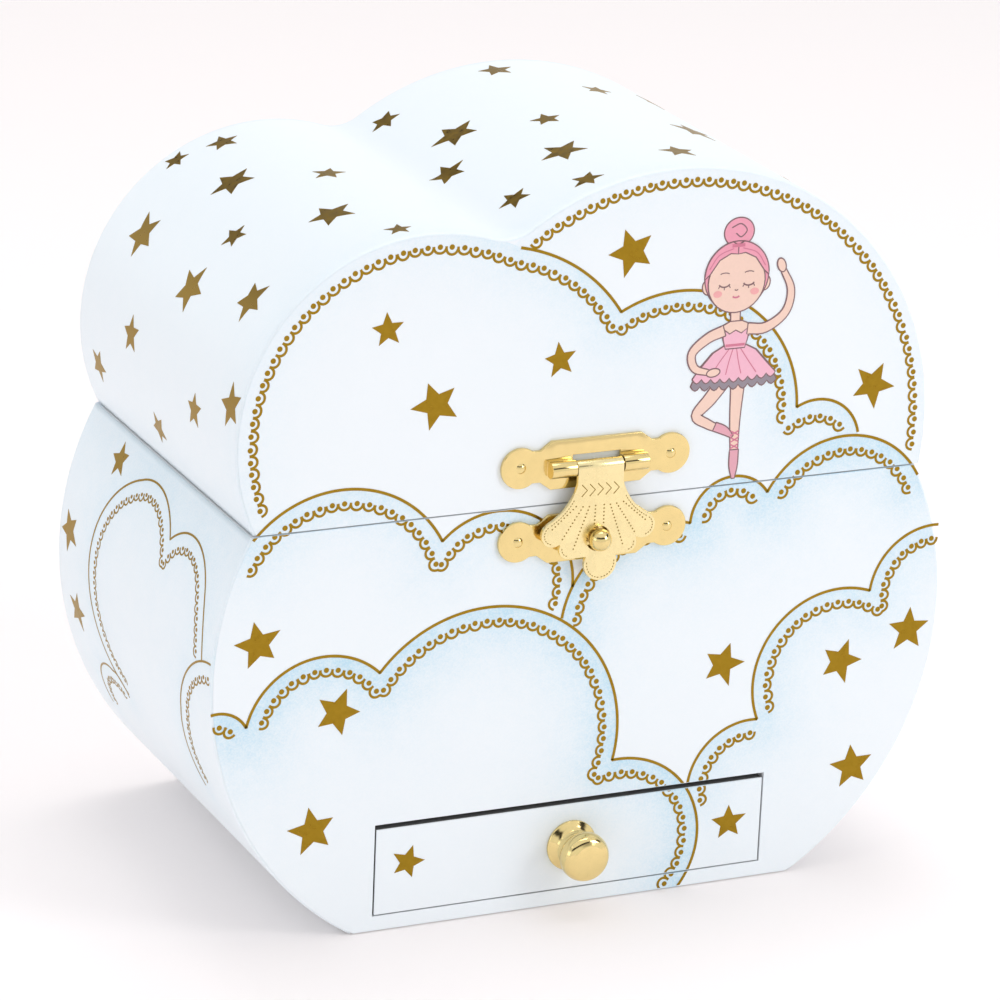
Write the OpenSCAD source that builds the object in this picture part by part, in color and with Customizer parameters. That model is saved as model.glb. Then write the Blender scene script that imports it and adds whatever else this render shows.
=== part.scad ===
// Cloud-shaped jewellery box with a drawer, a brass clasp and a wound music movement that turns a dancer.
// Millimetres, +Z up, front towards -Y. The origin is the middle of the bottom face.
// Outlines are drawn in X and Z and carried along Y.

/* [Box] */
// Depth from the front paper to the back board
box_depth = 88; // [84:1:92]
// Height of the seam between base and lid
seam_z = 87; // [86.5:0.25:87.5]
// Radius of the base's two round sides
base_r = 66; // [65:0.5:67]
// Height of the centres of the round sides
base_cz = 56; // [55:0.5:57]
// Distance of those centres from the middle
base_cx = 14.5; // [14:0.25:15.5]
// Thickness of the front, back and bottom boards
board = 3; // [2.5:0.25:3]
// Thickness of the curved walls
wall = 2.5; // [2:0.25:2.5]
// Thickness of the printed paper
skin = 0.3; // [0.2:0.05:0.3]

/* [Lid] */
// Radius of the left lobe
left_r = 40; // [39:0.5:41]
// Sideways place of the left lobe's centre
left_cx = -36.5; // [-37:0.25:-36]
// Height of the left lobe's centre
left_cz = 105; // [104:0.5:106]
// Radius of the right lobe
right_r = 58; // [57:0.5:59]
// Sideways place of the right lobe's centre
right_cx = 16.5; // [16:0.25:17]
// Height of the right lobe's centre
right_cz = 96; // [95:0.5:97]
// Radius that softens the notch between the lobes
notch_r = 9; // [6:1:14]
// Height of the mirror board's lower face
mirror_z = 125; // [124:0.5:126]

/* [Drawer] */
// Shift of the drawer from the middle of the box
drawer_x = -1.2; // [-2:0.1:2]
// Width of the drawer opening
opening_w = 87; // [85:0.5:88]
// Height of the opening's top edge
opening_top = 23; // [22.5:0.25:23.5]
// Length of the drawer behind its front
drawer_len = 72; // [68:1:74]

/* [Clasp] */
// Distance from the middle to each nail
nail_x = 16.4; // [16:0.1:17]
// Height of the upper plate's middle
upper_z = 95.4; // [95:0.1:96]
// Height of the lower plate's middle and of the stud
lower_z = 80; // [79.5:0.1:80.5]
// Height of the hasp's pin
pin_z = 94.8; // [94.6:0.1:95]
// Thickness of the brass sheet
brass = 0.8; // [0.7:0.05:0.8]

/* [Movement] */
// Height of the barrel and cylinder axes
axis_z = 46; // [45.5:0.25:46.5]
// Front face of the spring barrel, measured along Y
barrel_y = 25; // [24.5:0.25:25]
// Teeth on the barrel's crown
crown_teeth = 30; // [30:1:30]
// Teeth on each pinion
pinion_teeth = 8; // [8:1:8]
// Teeth on the cylinder's gear
drive_teeth = 24; // [24:1:24]
// Teeth on the worm wheel
wheel_teeth = 16; // [16:1:16]
// Radius of the pinned cylinder
cylinder_r = 6.5; // [6:0.1:6.5]

/* [Hidden] */
$fn = 72;

gap = 0.3; // clearance between loose pieces
fit = 0.05; // radial clearance of a running fit
far = 200; // larger than the box, for cutting

front_y = -box_depth / 2;
back_y = box_depth / 2;
board_front = front_y + skin; // outer face of the front boards
board_in = board_front + board; // inner face of the front boards
back_in = back_y - board - skin; // inner face of the back boards
base_top = seam_z - gap / 2;
lid_low = seam_z + gap / 2;
floor_z = board + 0.2; // top of the bottom board
shelf_z = opening_top + 2.2; // underside of the shelf over the drawer
shelf_t = 2;
trough_z = shelf_z + shelf_t;
stage_z = 66; // underside of the stage
stage_t = 2.5;
riser_y = 4; // front face of the riser behind the trough
riser_t = 2;

// distance between two points of the outline plane
function span(a, b) = norm(b - a);
// upper point that lies ra from a and rb from b
function meet(a, ra, b, rb) =
    let (d = span(a, b), u = (b - a) / d, m = (ra * ra - rb * rb + d * d) / (2 * d))
    a + m * u + sqrt(ra * ra - m * m) * [-u[1], u[0]];

left_c = [left_cx, left_cz];
right_c = [right_cx, right_cz];
notch_c = meet(left_c, left_r + notch_r, right_c, right_r + notch_r);

// ---- outlines ----

module base_outline(inset, low = 0, top = base_top) {
    intersection() {
        union() {
            for (s = [-1, 1]) translate([s * base_cx, base_cz]) circle(base_r - inset);
            translate([-base_cx, base_cz - base_r + inset]) square([2 * base_cx, 2 * (base_r - inset)]);
        }
        translate([-far / 2, low]) square([far, top - low]);
    }
}

module lid_outline(inset, low = lid_low) {
    intersection() {
        union() {
            translate(left_c) circle(left_r - inset);
            translate(right_c) circle(right_r - inset);
            difference() {
                polygon([left_c, right_c, notch_c]);
                translate(notch_c) circle(notch_r + inset);
            }
        }
        translate([-far / 2, low]) square([far, far]);
    }
}

// carries an outline of X and Z along Y from y0 to y1
module slab(y0, y1) {
    translate([0, y1, 0]) rotate([90, 0, 0]) linear_extrude(y1 - y0) children();
}

// cylinder along X, Y or Z that starts at p
module rod_x(p, r, len) translate(p) rotate([0, 90, 0]) cylinder(r = r, h = len);
module rod_y(p, r, len) translate(p) rotate([-90, 0, 0]) cylinder(r = r, h = len);
module rod_z(p, r, len) translate(p) cylinder(r = r, h = len);

// box from corner a to corner b
module block(a, b) translate(a) cube(b - a);

// ---- base ----

module base_bottom_board() {
    color("white") slab(board_front, back_y) base_outline(skin, 0, floor_z);
}

// cutter for the drawer's opening, from height z
module drawer_opening(z) {
    block([drawer_x - opening_w / 2, front_y - 1, z], [drawer_x + opening_w / 2, board_in + 1, opening_top]);
}

module base_front_board() {
    color("white") difference() {
        slab(board_front, board_in) base_outline(skin, floor_z);
        drawer_opening(0);
    }
}

key_hole_r = 4;

module base_back_board() {
    color("white") difference() {
        slab(back_in, back_y) base_outline(skin, floor_z);
        rod_y([0, back_in - 1, axis_z], key_hole_r, board + 2);
    }
}

module base_wall(side) {
    difference() {
        slab(board_in, back_in) base_outline(skin, floor_z);
        slab(board_in - 1, back_in + 1) base_outline(skin + wall, -1, far);
        block([side > 0 ? -far : 0, -far, -1], [side > 0 ? 0 : far, far, far]);
    }
}

module base_left_wall() color("white") base_wall(-1);
module base_right_wall() color("white") base_wall(1);

module base_front_paper() {
    color("aliceblue") difference() {
        slab(front_y, board_front) base_outline(skin);
        drawer_opening(floor_z);
    }
}

module base_side_papers() {
    color("aliceblue") difference() {
        slab(front_y, back_y) base_outline(0, gap);
        slab(front_y - 1, back_y + 1) base_outline(skin, -1, far);
    }
}

bay_in = opening_w / 2 + 0.4; // inner face of each bay wall
bay_t = 1.6;
bay_y = board_in + drawer_len + 1;

module drawer_bay_walls() {
    color("white") translate([drawer_x, 0, 0]) for (s = [-1, 1])
        block([s > 0 ? bay_in : -bay_in - bay_t, board_in, floor_z],
              [s > 0 ? bay_in + bay_t : -bay_in, bay_y, shelf_z]);
}

module drawer_shelf() {
    color("white") slab(board_in, back_in) base_outline(skin + wall, shelf_z, trough_z);
}

module trough_riser() {
    color("mistyrose") slab(riser_y, riser_y + riser_t) base_outline(skin + wall, trough_z, stage_z);
}

bush_r = 3;
spindle_r = 1.5;
mesh_depth = 3.35; // from a pinion's axis to the crown's face
train_y = barrel_y - mesh_depth; // the cylinder and the dancer's spindle both stand at this depth
fly_x = 42.5;
fly_y = train_y + 6.1;
wire_y = 38;
wire_r = 0.8;

module stage_board() {
    color("mistyrose") difference() {
        slab(riser_y, back_in) base_outline(skin + wall, stage_z, stage_z + stage_t);
        rod_z([0, train_y, stage_z - 1], bush_r, stage_t + 2);
        rod_z([fly_x, wire_y, stage_z - 1], wire_r + 2 * fit, stage_t + 2);
    }
}

module spindle_bush() {
    color("goldenrod") difference() {
        union() {
            rod_z([0, train_y, stage_z], bush_r, stage_t + 0.6);
            rod_z([0, train_y, stage_z + stage_t], bush_r + 1.5, 0.6);
        }
        rod_z([0, train_y, stage_z - 1], spindle_r + fit, stage_t + 3);
    }
}

divider_x = 6;

module trough_divider() {
    color("mistyrose") block([divider_x, board_in, trough_z], [divider_x + 2, riser_y, stage_z]);
}

roll_r = 6.4;
roll_count = 5;

module ring_rolls() {
    color("pink") for (i = [1:roll_count])
        rod_y([divider_x - i * (2 * roll_r + gap / 2) + roll_r, board_in + gap, trough_z + roll_r],
              roll_r, riser_y - board_in - 2 * gap);
}

// ---- clasp ----

lobe_r = 4.2; // round end of a plate
waist_x = 12.2;
waist_h = 3.3;
body_x = 9.8;
body_h = 5.05;
nail_r = 0.75;
hasp_pin_r = 0.7;
pin_y = front_y - brass - 1; // hasp's axis
knuckle_r = 1.5;
hasp_half = 5; // half the width of the hasp's neck
stud_hole_r = 2.6;

// outline of a plate about its own middle
module plate_outline() {
    difference() {
        union() {
            for (s = [-1, 1]) translate([s * nail_x, 0]) circle(lobe_r);
            polygon([
                [-nail_x, -waist_h], [-waist_x, -waist_h], [-body_x, -body_h], [body_x, -body_h],
                [waist_x, -waist_h], [nail_x, -waist_h], [nail_x, waist_h], [waist_x, waist_h],
                [body_x, body_h], [-body_x, body_h], [-waist_x, waist_h], [-nail_x, waist_h]
            ]);
        }
        for (s = [-1, 1]) translate([s * nail_x, 0]) circle(nail_r);
    }
}

module clasp_plate(z) {
    translate([0, 0, z]) slab(front_y - brass, front_y) plate_outline();
}

module clasp_lower_plate() {
    color("gold") difference() {
        clasp_plate(lower_z);
        rod_y([0, front_y - 2, lower_z], 1.4, 3);
    }
}

module clasp_stud() {
    color("gold") {
        rod_y([0, front_y - 4, lower_z], 1.4, 4);
        translate([0, front_y - 4.2, lower_z]) sphere(2.3);
    }
}

// a domed nail through a plate
module clasp_nail(z) {
    for (s = [-1, 1]) {
        rod_y([s * nail_x, front_y - brass, z], nail_r, brass + 2);
        difference() {
            translate([s * nail_x, front_y - brass + 0.9, z]) sphere(1.4);
            block([-far, front_y - brass, 0], [far, far, far]);
        }
    }
}

module base_clasp_nails() color("gold") clasp_nail(lower_z);
module lid_clasp_nails() color("gold") clasp_nail(upper_z);

housing_x = 5.2; // inner face of each pin housing
housing_w = 5.4;
housing_r = 1.75;

module clasp_upper_plate() {
    color("gold") difference() {
        union() {
            clasp_plate(upper_z);
            difference() {
                for (s = [-1, 1])
                    rod_x([s > 0 ? housing_x : -housing_x - housing_w, pin_y, pin_z], housing_r, housing_w);
                block([-far, front_y - brass, 0], [far, far, far]);
            }
        }
        block([-hasp_half - 0.2, front_y - brass - 1, pin_z - 2.2],
              [hasp_half + 0.2, front_y + 1, pin_z + 2.4]);
        rod_x([-housing_x - housing_w + 1, pin_y, pin_z], hasp_pin_r, 2 * (housing_x + housing_w - 1));
    }
}

module clasp_pin() {
    color("goldenrod")
        rod_x([-housing_x - housing_w + 1, pin_y, pin_z], hasp_pin_r, 2 * (housing_x + housing_w - 1));
}

flare_r = 12.2; // concave side between the hasp's neck and shell
flare_x = 16.8;
flare_z = 94.8;
outer_lobe = [9.85, 81.7]; // round ends of the shell
outer_lobe_r = 2.6;
inner_lobe = [6.4, 78.4];
inner_lobe_r = 2.1;
tab_x = 0.7;
tab_z = 74.7;
tab_r = 3.6;

// the hasp's flat outline: neck, concave flare, stepped shell and finger tab
module hasp_outline() {
    neck_z = flare_z - 2.9; // the flare begins here
    difference() {
        union() {
            translate([-hasp_half, neck_z - 1]) square([2 * hasp_half, pin_z - neck_z + 1]);
            difference() {
                polygon([
                    [-hasp_half, neck_z], [hasp_half, neck_z],
                    outer_lobe + outer_lobe_r * [0.469, 0.883], outer_lobe,
                    inner_lobe - [0, inner_lobe_r], [-inner_lobe[0], inner_lobe[1] - inner_lobe_r],
                    [-outer_lobe[0], outer_lobe[1]],
                    [-outer_lobe[0] - outer_lobe_r * 0.469, outer_lobe[1] + outer_lobe_r * 0.883]
                ]);
                for (s = [-1, 1]) translate([s * flare_x, flare_z]) circle(flare_r);
            }
            for (s = [-1, 1]) {
                translate([s * outer_lobe[0], outer_lobe[1]]) circle(outer_lobe_r);
                translate([s * inner_lobe[0], inner_lobe[1]]) circle(inner_lobe_r);
            }
            translate([tab_x, tab_z]) circle(tab_r);
        }
        translate([0, lower_z]) circle(stud_hole_r);
    }
}

module clasp_hasp() {
    color("gold") difference() {
        union() {
            slab(pin_y - knuckle_r, pin_y - knuckle_r + brass) hasp_outline();
            rod_x([-hasp_half, pin_y, pin_z], knuckle_r, 2 * hasp_half);
        }
        rod_x([-hasp_half - 1, pin_y, pin_z], hasp_pin_r + fit, 2 * hasp_half + 2);
    }
}

// ---- hinges ----

hinge_x = 40;
hinge_half = 8;
hinge_r = 2.1;
hinge_pin_r = 1;
hinge_y = back_y + hinge_r + 0.2;
leaf_len = 13;
knuckle_half = 2.6; // half the length of the lid's middle knuckle

module hinge_knuckle(x0, x1, dir) {
    rod_x([x0, hinge_y, seam_z], hinge_r, x1 - x0);
    block([x0, back_y, dir > 0 ? seam_z : seam_z - hinge_r - 0.6],
          [x1, back_y + brass, dir > 0 ? seam_z + hinge_r + 0.6 : seam_z]);
}

module base_hinge_leaves() {
    color("gold") for (s = [-1, 1]) translate([s * hinge_x, 0, 0]) difference() {
        union() {
            block([-hinge_half, back_y, seam_z - leaf_len],
                  [hinge_half, back_y + brass, seam_z - hinge_r - 0.5]);
            hinge_knuckle(-hinge_half, -knuckle_half - gap, -1);
            hinge_knuckle(knuckle_half + gap, hinge_half, -1);
        }
        rod_x([-hinge_half - 1, hinge_y, seam_z], hinge_pin_r, 2 * hinge_half + 2);
    }
}

module lid_hinge_leaves() {
    color("gold") for (s = [-1, 1]) translate([s * hinge_x, 0, 0]) difference() {
        union() {
            block([-hinge_half, back_y, seam_z + hinge_r + 0.5],
                  [hinge_half, back_y + brass, seam_z + leaf_len]);
            hinge_knuckle(-knuckle_half, knuckle_half, 1);
        }
        rod_x([-hinge_half, hinge_y, seam_z], hinge_pin_r + fit, 2 * hinge_half);
    }
}

module hinge_pins() {
    color("goldenrod") for (s = [-1, 1])
        rod_x([s * hinge_x - hinge_half, hinge_y, seam_z], hinge_pin_r, 2 * hinge_half);
}

// ---- lid ----

module lid_front_board() {
    color("white") slab(board_front, board_in) lid_outline(skin);
}

module lid_back_board() {
    color("white") slab(back_in, back_y) lid_outline(skin);
}

module lid_top_band() {
    color("white") difference() {
        slab(board_in, back_in) lid_outline(skin);
        slab(board_in - 1, back_in + 1) lid_outline(skin + wall, 0);
    }
}

module lid_front_paper() {
    color("aliceblue") slab(front_y, board_front) lid_outline(skin);
}

module lid_top_paper() {
    color("aliceblue") difference() {
        slab(front_y, back_y) lid_outline(0);
        slab(front_y - 1, back_y + 1) lid_outline(skin, 0);
    }
}

mirror_board_t = 2;
mirror_t = 1.2;

module mirror_board() {
    color("mistyrose") block([-66.6, board_in, mirror_z], [62.2, back_in, mirror_z + mirror_board_t]);
}

module mirror() {
    color("lightsteelblue") block([-38, -26, mirror_z - mirror_t], [34, 26, mirror_z]);
}

module stop_block() {
    color("white") block([fly_x - 4, wire_y - 3, lid_low + gap], [fly_x + 4, back_in, lid_low + 9]);
}

// ---- drawer ----

drawer_half = opening_w / 2 - 0.4;
drawer_low = floor_z + gap;
drawer_top = opening_top - 1.1;
side_half = bay_in - 0.8; // outer face of each drawer side
side_top = drawer_top - 1;
side_t = 2;
knob_z = 12.9;
screw_r = 1.3;
drawer_end = board_in + drawer_len;

module drawer_front_board() {
    color("white") translate([drawer_x, 0, 0]) difference() {
        block([-drawer_half, board_front, drawer_low], [drawer_half, board_in, drawer_top]);
        rod_y([0, front_y - 1, knob_z], screw_r, board + 2);
    }
}

module drawer_front_paper() {
    color("aliceblue") translate([drawer_x, 0, 0]) difference() {
        block([-drawer_half, front_y, drawer_low], [drawer_half, board_front, drawer_top]);
        rod_y([0, front_y - 1, knob_z], screw_r, board);
    }
}

module drawer_side(side) {
    x = drawer_x + side * (side_half - side_t / 2);
    block([x - side_t / 2, board_in, drawer_low], [x + side_t / 2, drawer_end, side_top]);
}

module drawer_left_side() color("white") drawer_side(-1);
module drawer_right_side() color("white") drawer_side(1);

module drawer_back() {
    color("white") translate([drawer_x, 0, 0])
        block([-side_half + side_t, drawer_end - side_t, drawer_low],
              [side_half - side_t, drawer_end, side_top]);
}

module drawer_bottom() {
    color("white") translate([drawer_x, 0, 0])
        block([-side_half + side_t, board_in, drawer_low],
              [side_half - side_t, drawer_end - side_t, drawer_low + 1.5]);
}

module drawer_lining() {
    color("pink") translate([drawer_x, 0, 0])
        block([-side_half + side_t + 0.1, board_in + 0.1, drawer_low + 1.5],
              [side_half - side_t - 0.1, drawer_end - side_t - 0.1, drawer_low + 2.3]);
}

knob_len = 9.2; // from the paper to the knob's face
rosette_r = 5.4;
head_r = 5.15;

// half the knob's section: rosette, hollow neck, head with a rounded shoulder
module knob_section() {
    polygon([
        [0, 0], [rosette_r, 0], [rosette_r, 0.6], [4.6, 1.3], [3.8, 2.1], [3.4, 3.3], [3.6, 4.4],
        [4.4, 5.3], [head_r, 5.8], [head_r, 7], [4.8, 8.1], [4.2, 8.8], [3.3, knob_len], [0, knob_len]
    ]);
}

module drawer_knob() {
    color("gold") translate([drawer_x, front_y, knob_z]) rotate([90, 0, 0]) difference() {
        rotate_extrude() knob_section();
        translate([0, 0, -1]) cylinder(r = screw_r, h = 7);
    }
}

module knob_screw() {
    color("silver") translate([drawer_x, 0, 0]) {
        rod_y([0, front_y - 6, knob_z], screw_r, 6 + skin + board);
        rod_y([0, board_in, knob_z], 2.8, 1.2);
    }
}

// ---- movement ----

plate_y = 36; // front face of the bedplate
plate_t = 2;
plate_low = 29;
plate_top = 62;
plate_left = -13.5;
plate_right = 50;
arbor_r = 1; // cylinder's arbor
ear_z = 59.4; // underside of the spindle's ear
gear_z = axis_z - 9.6; // axis of the intermediate gear
gear_arbor_r = 0.8;
near_ear = 12.4; // left face of the ear beside the barrel
far_ear = 36;
ear_t = 1.2;
comb_low = axis_z + cylinder_r + 0.6; // tips of the comb's teeth, just clear of the pins
comb_top = plate_top - 0.5;
comb_left = 14.5;
comb_w = 20;
comb_t = 0.8;
comb_seat = 57; // lower edge of the block that carries the comb

module movement_bedplate() {
    color("gainsboro") difference() {
        union() {
            block([plate_left, plate_y, plate_low], [plate_right, plate_y + plate_t, plate_top]);
            block([comb_left - 0.5, train_y + comb_t / 2, comb_seat],
                  [comb_left + comb_w + 0.5, plate_y, plate_top]);
            block([near_ear, train_y - 3, axis_z - 3], [near_ear + ear_t, plate_y, axis_z + 3]);
            block([far_ear, train_y - 3, gear_z - 3], [far_ear + ear_t, plate_y, axis_z + 3]);
            block([-3.5, train_y - 3.5, ear_z], [3.5, plate_y, ear_z + ear_t]);
        }
        rod_x([near_ear - 1, train_y, axis_z], arbor_r + fit, far_ear - near_ear + ear_t + 2);
        rod_x([far_ear - 1, train_y, gear_z], gear_arbor_r + fit, ear_t + 2);
        rod_z([0, train_y, ear_z - 1], spindle_r + fit, ear_t + 2);
        rod_y([0, plate_y - 1, axis_z], spindle_r + fit, plate_t + 2);
        for (p = bed_screws) rod_y([p[0], plate_y - 1, p[1]], screw_r, plate_t + 2);
        for (x = comb_screws) rod_y([x, train_y, comb_seat + 2.5], comb_screw_r, 5);
    }
}

bed_screws = [[-10.5, 32], [-10.5, 59], [27, 32]];
comb_screws = [comb_left + 3.5, comb_left + comb_w / 2, comb_left + comb_w - 3.5];
comb_screw_r = 0.8;

module movement_screws() {
    color("silver") {
        for (p = bed_screws) {
            rod_y([p[0], plate_y, p[1]], screw_r, back_in - plate_y + 1.5);
            rod_y([p[0], plate_y - 1.2, p[1]], 2.4, 1.2);
        }
        for (x = comb_screws) {
            rod_y([x, train_y - comb_t / 2, comb_seat + 2.5], comb_screw_r, 4);
            rod_y([x, train_y - comb_t / 2 - 0.9, comb_seat + 2.5], 1.5, 0.9);
        }
    }
}

comb_teeth = 18;

module music_comb() {
    pitch = comb_w / comb_teeth;
    slot = 0.3;
    color("silver") difference() {
        block([comb_left, train_y - comb_t / 2, comb_low],
              [comb_left + comb_w, train_y + comb_t / 2, comb_top]);
        for (i = [1:comb_teeth - 1])
            block([comb_left + i * pitch - slot / 2, train_y - 1, comb_low - 1],
                  [comb_left + i * pitch + slot / 2, train_y + 1, comb_seat + 0.4]);
        for (x = comb_screws) rod_y([x, train_y - 1, comb_seat + 2.5], comb_screw_r, 2);
    }
}

// straight thin teeth round the Z axis, from inside the hub to the tip
module fins(count, tip_r, hub_r, width, thick, turn = 0) {
    cylinder(r = hub_r, h = width);
    for (i = [0:count - 1]) rotate(turn + i * 360 / count)
        translate([hub_r - 0.4, -thick / 2, 0]) cube([tip_r - hub_r + 0.4, thick, width]);
}

tooth = 0.5; // thickness of a gear tooth
crown_mid = 10;
crown_w = 2.4;
barrel_r = 11.5;
barrel_len = 10;
pinion_tip = 3.2;
pinion_hub = 1.9;

module spring_barrel() {
    color("goldenrod") difference() {
        union() {
            rod_y([0, barrel_y, axis_z], barrel_r, barrel_len);
            for (i = [0:crown_teeth - 1])
                translate([0, barrel_y, axis_z]) rotate([0, (i + 0.5) * 360 / crown_teeth, 0])
                    translate([crown_mid - crown_w / 2, -1.2, -tooth / 2]) cube([crown_w, 1.3, tooth]);
        }
        rod_y([0, barrel_y + 1.2, axis_z], barrel_r - 1.2, barrel_len);
        rod_y([0, barrel_y - 2, axis_z], spindle_r, barrel_len);
    }
}

// spiral of the mainspring, from the arbor out to the barrel's wall
spring_turns = 5;
spring_t = 0.4;
function spiral_r(a) = 1.7 + 8.0 * a / (360 * spring_turns);
spiral = [for (a = [0:15:360 * spring_turns]) a];

module mainspring() {
    color("steelblue") translate([0, 0, axis_z]) slab(barrel_y + 2, barrel_y + barrel_len - 1)
        polygon(concat(
            [for (a = spiral) spiral_r(a) * [cos(a), sin(a)]],
            [for (i = [len(spiral) - 1:-1:0])
                (spiral_r(spiral[i]) + spring_t) * [cos(spiral[i]), sin(spiral[i])]]
        ));
}

module winding_arbor() {
    color("silver") rod_y([0, barrel_y - 0.5, axis_z], spindle_r, 26);
}

key_y = back_y + 1; // inner end of the key's sleeve

module winding_key() {
    color("gold") difference() {
        union() {
            rod_y([0, key_y, axis_z], 2.8, 7);
            hull() for (s = [-1, 1]) translate([s * 6.5, key_y + 5, axis_z - 0.9]) {
                cylinder(r = 1, h = 1.8, $fn = 32);
                translate([s * 0.5, 4.5, 0]) cylinder(r = 4, h = 1.8, $fn = 32);
            }
        }
        for (s = [-1, 1]) rod_z([s * 6.8, key_y + 9, axis_z - 2], 1.8, 4);
        rod_y([0, key_y - 1, axis_z], spindle_r, 6.5);
    }
}

drum_left = 14;
drum_w = 21;
drive_x = 38.2; // left face of the cylinder's gear
drive_w = 1.2;
pin_rows = 18;
pin_lanes = 5; // pins in each row

// which of 24 places round the drum a pin takes, spread by a fixed stride
function pin_turn(row, lane) = 15 * ((row * 7 + lane * 5 + row * lane) % 24) + 7;

module music_cylinder() {
    pitch = comb_w / pin_rows;
    color("gold") {
        rod_x([drum_left, train_y, axis_z], cylinder_r, drum_w);
        rod_x([8.4, train_y, axis_z], arbor_r, 31.4);
        translate([crown_mid - 1, train_y, axis_z]) rotate([0, 90, 0])
            fins(pinion_teeth, pinion_tip, pinion_hub, 2, tooth, 0);
        translate([drive_x, train_y, axis_z]) rotate([0, 90, 0])
            fins(drive_teeth, 7.75, 6.5, drive_w, tooth, 0);
        for (row = [0:pin_rows - 1], lane = [0:pin_lanes - 1])
            translate([comb_left + (row + 0.5) * pitch, train_y, axis_z])
                rotate([pin_turn(row, lane), 0, 0])
                    translate([0, 0, cylinder_r - 0.3]) cylinder(r = 0.2, h = 0.8, $fn = 6);
    }
}

wheel_x = fly_x - 0.5;

module governor_gear() {
    color("ivory") {
        rod_x([35.8, train_y, gear_z], gear_arbor_r, 13);
        translate([drive_x, train_y, gear_z]) rotate([0, 90, 0])
            fins(pinion_teeth, 2.95, 1.7, drive_w, tooth, 22.5);
        translate([wheel_x, train_y, gear_z]) rotate([0, 90, 0])
            fins(wheel_teeth, 4.6, 3.4, 1, 0.45, 0);
    }
}

worm_lead = 1.6;
worm_turns = 5;
worm_thread = 100; // angle that the thread takes of each turn
fan_z = 54.2;
fan_h = 6;
fan_r = 4.5;
fly_top = 62.6;
pivot_r = 0.5;

worm_core_r = 1.3;
worm_r = 2.5;

// a slice through the worm's single thread
module worm_section() {
    half = worm_thread / 2;
    rotate(90 - 180 * worm_turns) polygon(concat(
        [for (a = [-half:20:half]) worm_r * [cos(a), sin(a)]],
        [for (a = [half:-20:-half]) (worm_core_r - 0.2) * [cos(a), sin(a)]]
    ));
}

module governor_fly() {
    worm_len = worm_turns * worm_lead;
    color("ivory") translate([fly_x, fly_y, 0]) {
        rod_z([0, 0, 30.2], pivot_r, fly_top - 30.2);
        rod_z([0, 0, 31.6], worm_core_r, fan_z + fan_h - 31.6);
        translate([0, 0, gear_z - worm_len / 2])
            linear_extrude(worm_len, twist = -360 * worm_turns, slices = 16 * worm_turns, $fn = 16)
                worm_section();
        block([-fan_r, -0.3, fan_z], [fan_r, 0.3, fan_z + fan_h]);
    }
}

module governor_bracket() {
    color("gainsboro") difference() {
        union() {
            block([47.6, train_y - 3, 29.8], [48.8, plate_y, 62.2]);
            for (z = [29.8, 61]) block([fly_x - 2, fly_y - 3, z], [47.6, plate_y, z + 1.2]);
        }
        rod_x([47, train_y, gear_z], gear_arbor_r + fit, 3);
        rod_z([fly_x, fly_y, 29], pivot_r + fit, 40);
    }
}

module stop_wire() {
    color("silver") {
        rod_z([fly_x, fly_y, fly_top + gap], 1.2, 1.2);
        rod_y([fly_x, fly_y, fly_top + gap + 0.6], 0.6, wire_y - fly_y);
        rod_z([fly_x, wire_y, fly_top + gap + 0.2], wire_r, lid_low - fly_top - gap - 0.2);
    }
}

// ---- dancer ----

table_z = stage_z + stage_t + 1;
table_t = 1.8;
spring_low = table_z + table_t;
spring_h = 8;
foot_z = spring_low + spring_h;

module dancer_spindle() {
    color("silver") {
        rod_z([0, train_y, 53.6], spindle_r, spring_low - 53.6);
        translate([0, train_y, axis_z + crown_mid - 1])
            fins(pinion_teeth, pinion_tip, pinion_hub, 2, tooth, 22.5 + 90);
    }
}

module dancer_turntable() {
    color("white") difference() {
        rod_z([0, train_y, table_z], 7.5, table_t);
        rod_z([0, train_y, table_z - 1], spindle_r, table_t + 2);
    }
}

// a round wire swept along a coil
coil_r = 2.4;
coil_wire = 0.35;
coil_turns = 6;
coil_steps = 14; // rings in each turn
coil_sides = 6;

function coil_point(i, j) =
    let (a = i * 360 / coil_steps, b = j * 360 / coil_sides, r = coil_r + coil_wire * cos(b))
    [r * cos(a), r * sin(a),
     coil_wire * (1 + sin(b)) + (spring_h - 2 * coil_wire) * i / (coil_turns * coil_steps)];

module dancer_spring() {
    rings = coil_turns * coil_steps;
    points = [for (i = [0:rings], j = [0:coil_sides - 1]) coil_point(i, j)];
    sides = [for (i = [0:rings - 1], j = [0:coil_sides - 1])
        let (k = (j + 1) % coil_sides)
        [i * coil_sides + j, (i + 1) * coil_sides + j, (i + 1) * coil_sides + k, i * coil_sides + k]];
    ends = [[for (j = [0:coil_sides - 1]) j], [for (j = [coil_sides - 1:-1:0]) rings * coil_sides + j]];
    color("silver") translate([0, train_y, spring_low]) polyhedron(points, concat(sides, ends));
}

module dancer_figure() {
    color("pink") translate([0, train_y, foot_z]) {
        cylinder(r = 3, h = 1.6);
        translate([0, 0, 1.6]) cylinder(r1 = 1, r2 = 1.8, h = 12);
        translate([0, 0, 13.6]) cylinder(r1 = 2.4, r2 = 2, h = 3);
        translate([0, 0, 16.6]) cylinder(r1 = 2, r2 = 2.9, h = 5);
        translate([0, 0, 21.6]) cylinder(r = 1, h = 3);
        translate([0, 0, 26.6]) sphere(3.4);
        translate([0, 0, 30.4]) sphere(1.9);
        for (s = [-1, 1]) hull() {
            translate([s * 2.6, 0, 20.6]) sphere(0.8, $fn = 16);
            translate([s * 6.2, -2.4, 24]) sphere(0.6, $fn = 16);
        }
        for (s = [-1, 1]) hull() {
            translate([s * 6.2, -2.4, 24]) sphere(0.6, $fn = 16);
            translate([s * 1.6, -2.8, 33]) sphere(0.5, $fn = 16);
        }
    }
}

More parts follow.
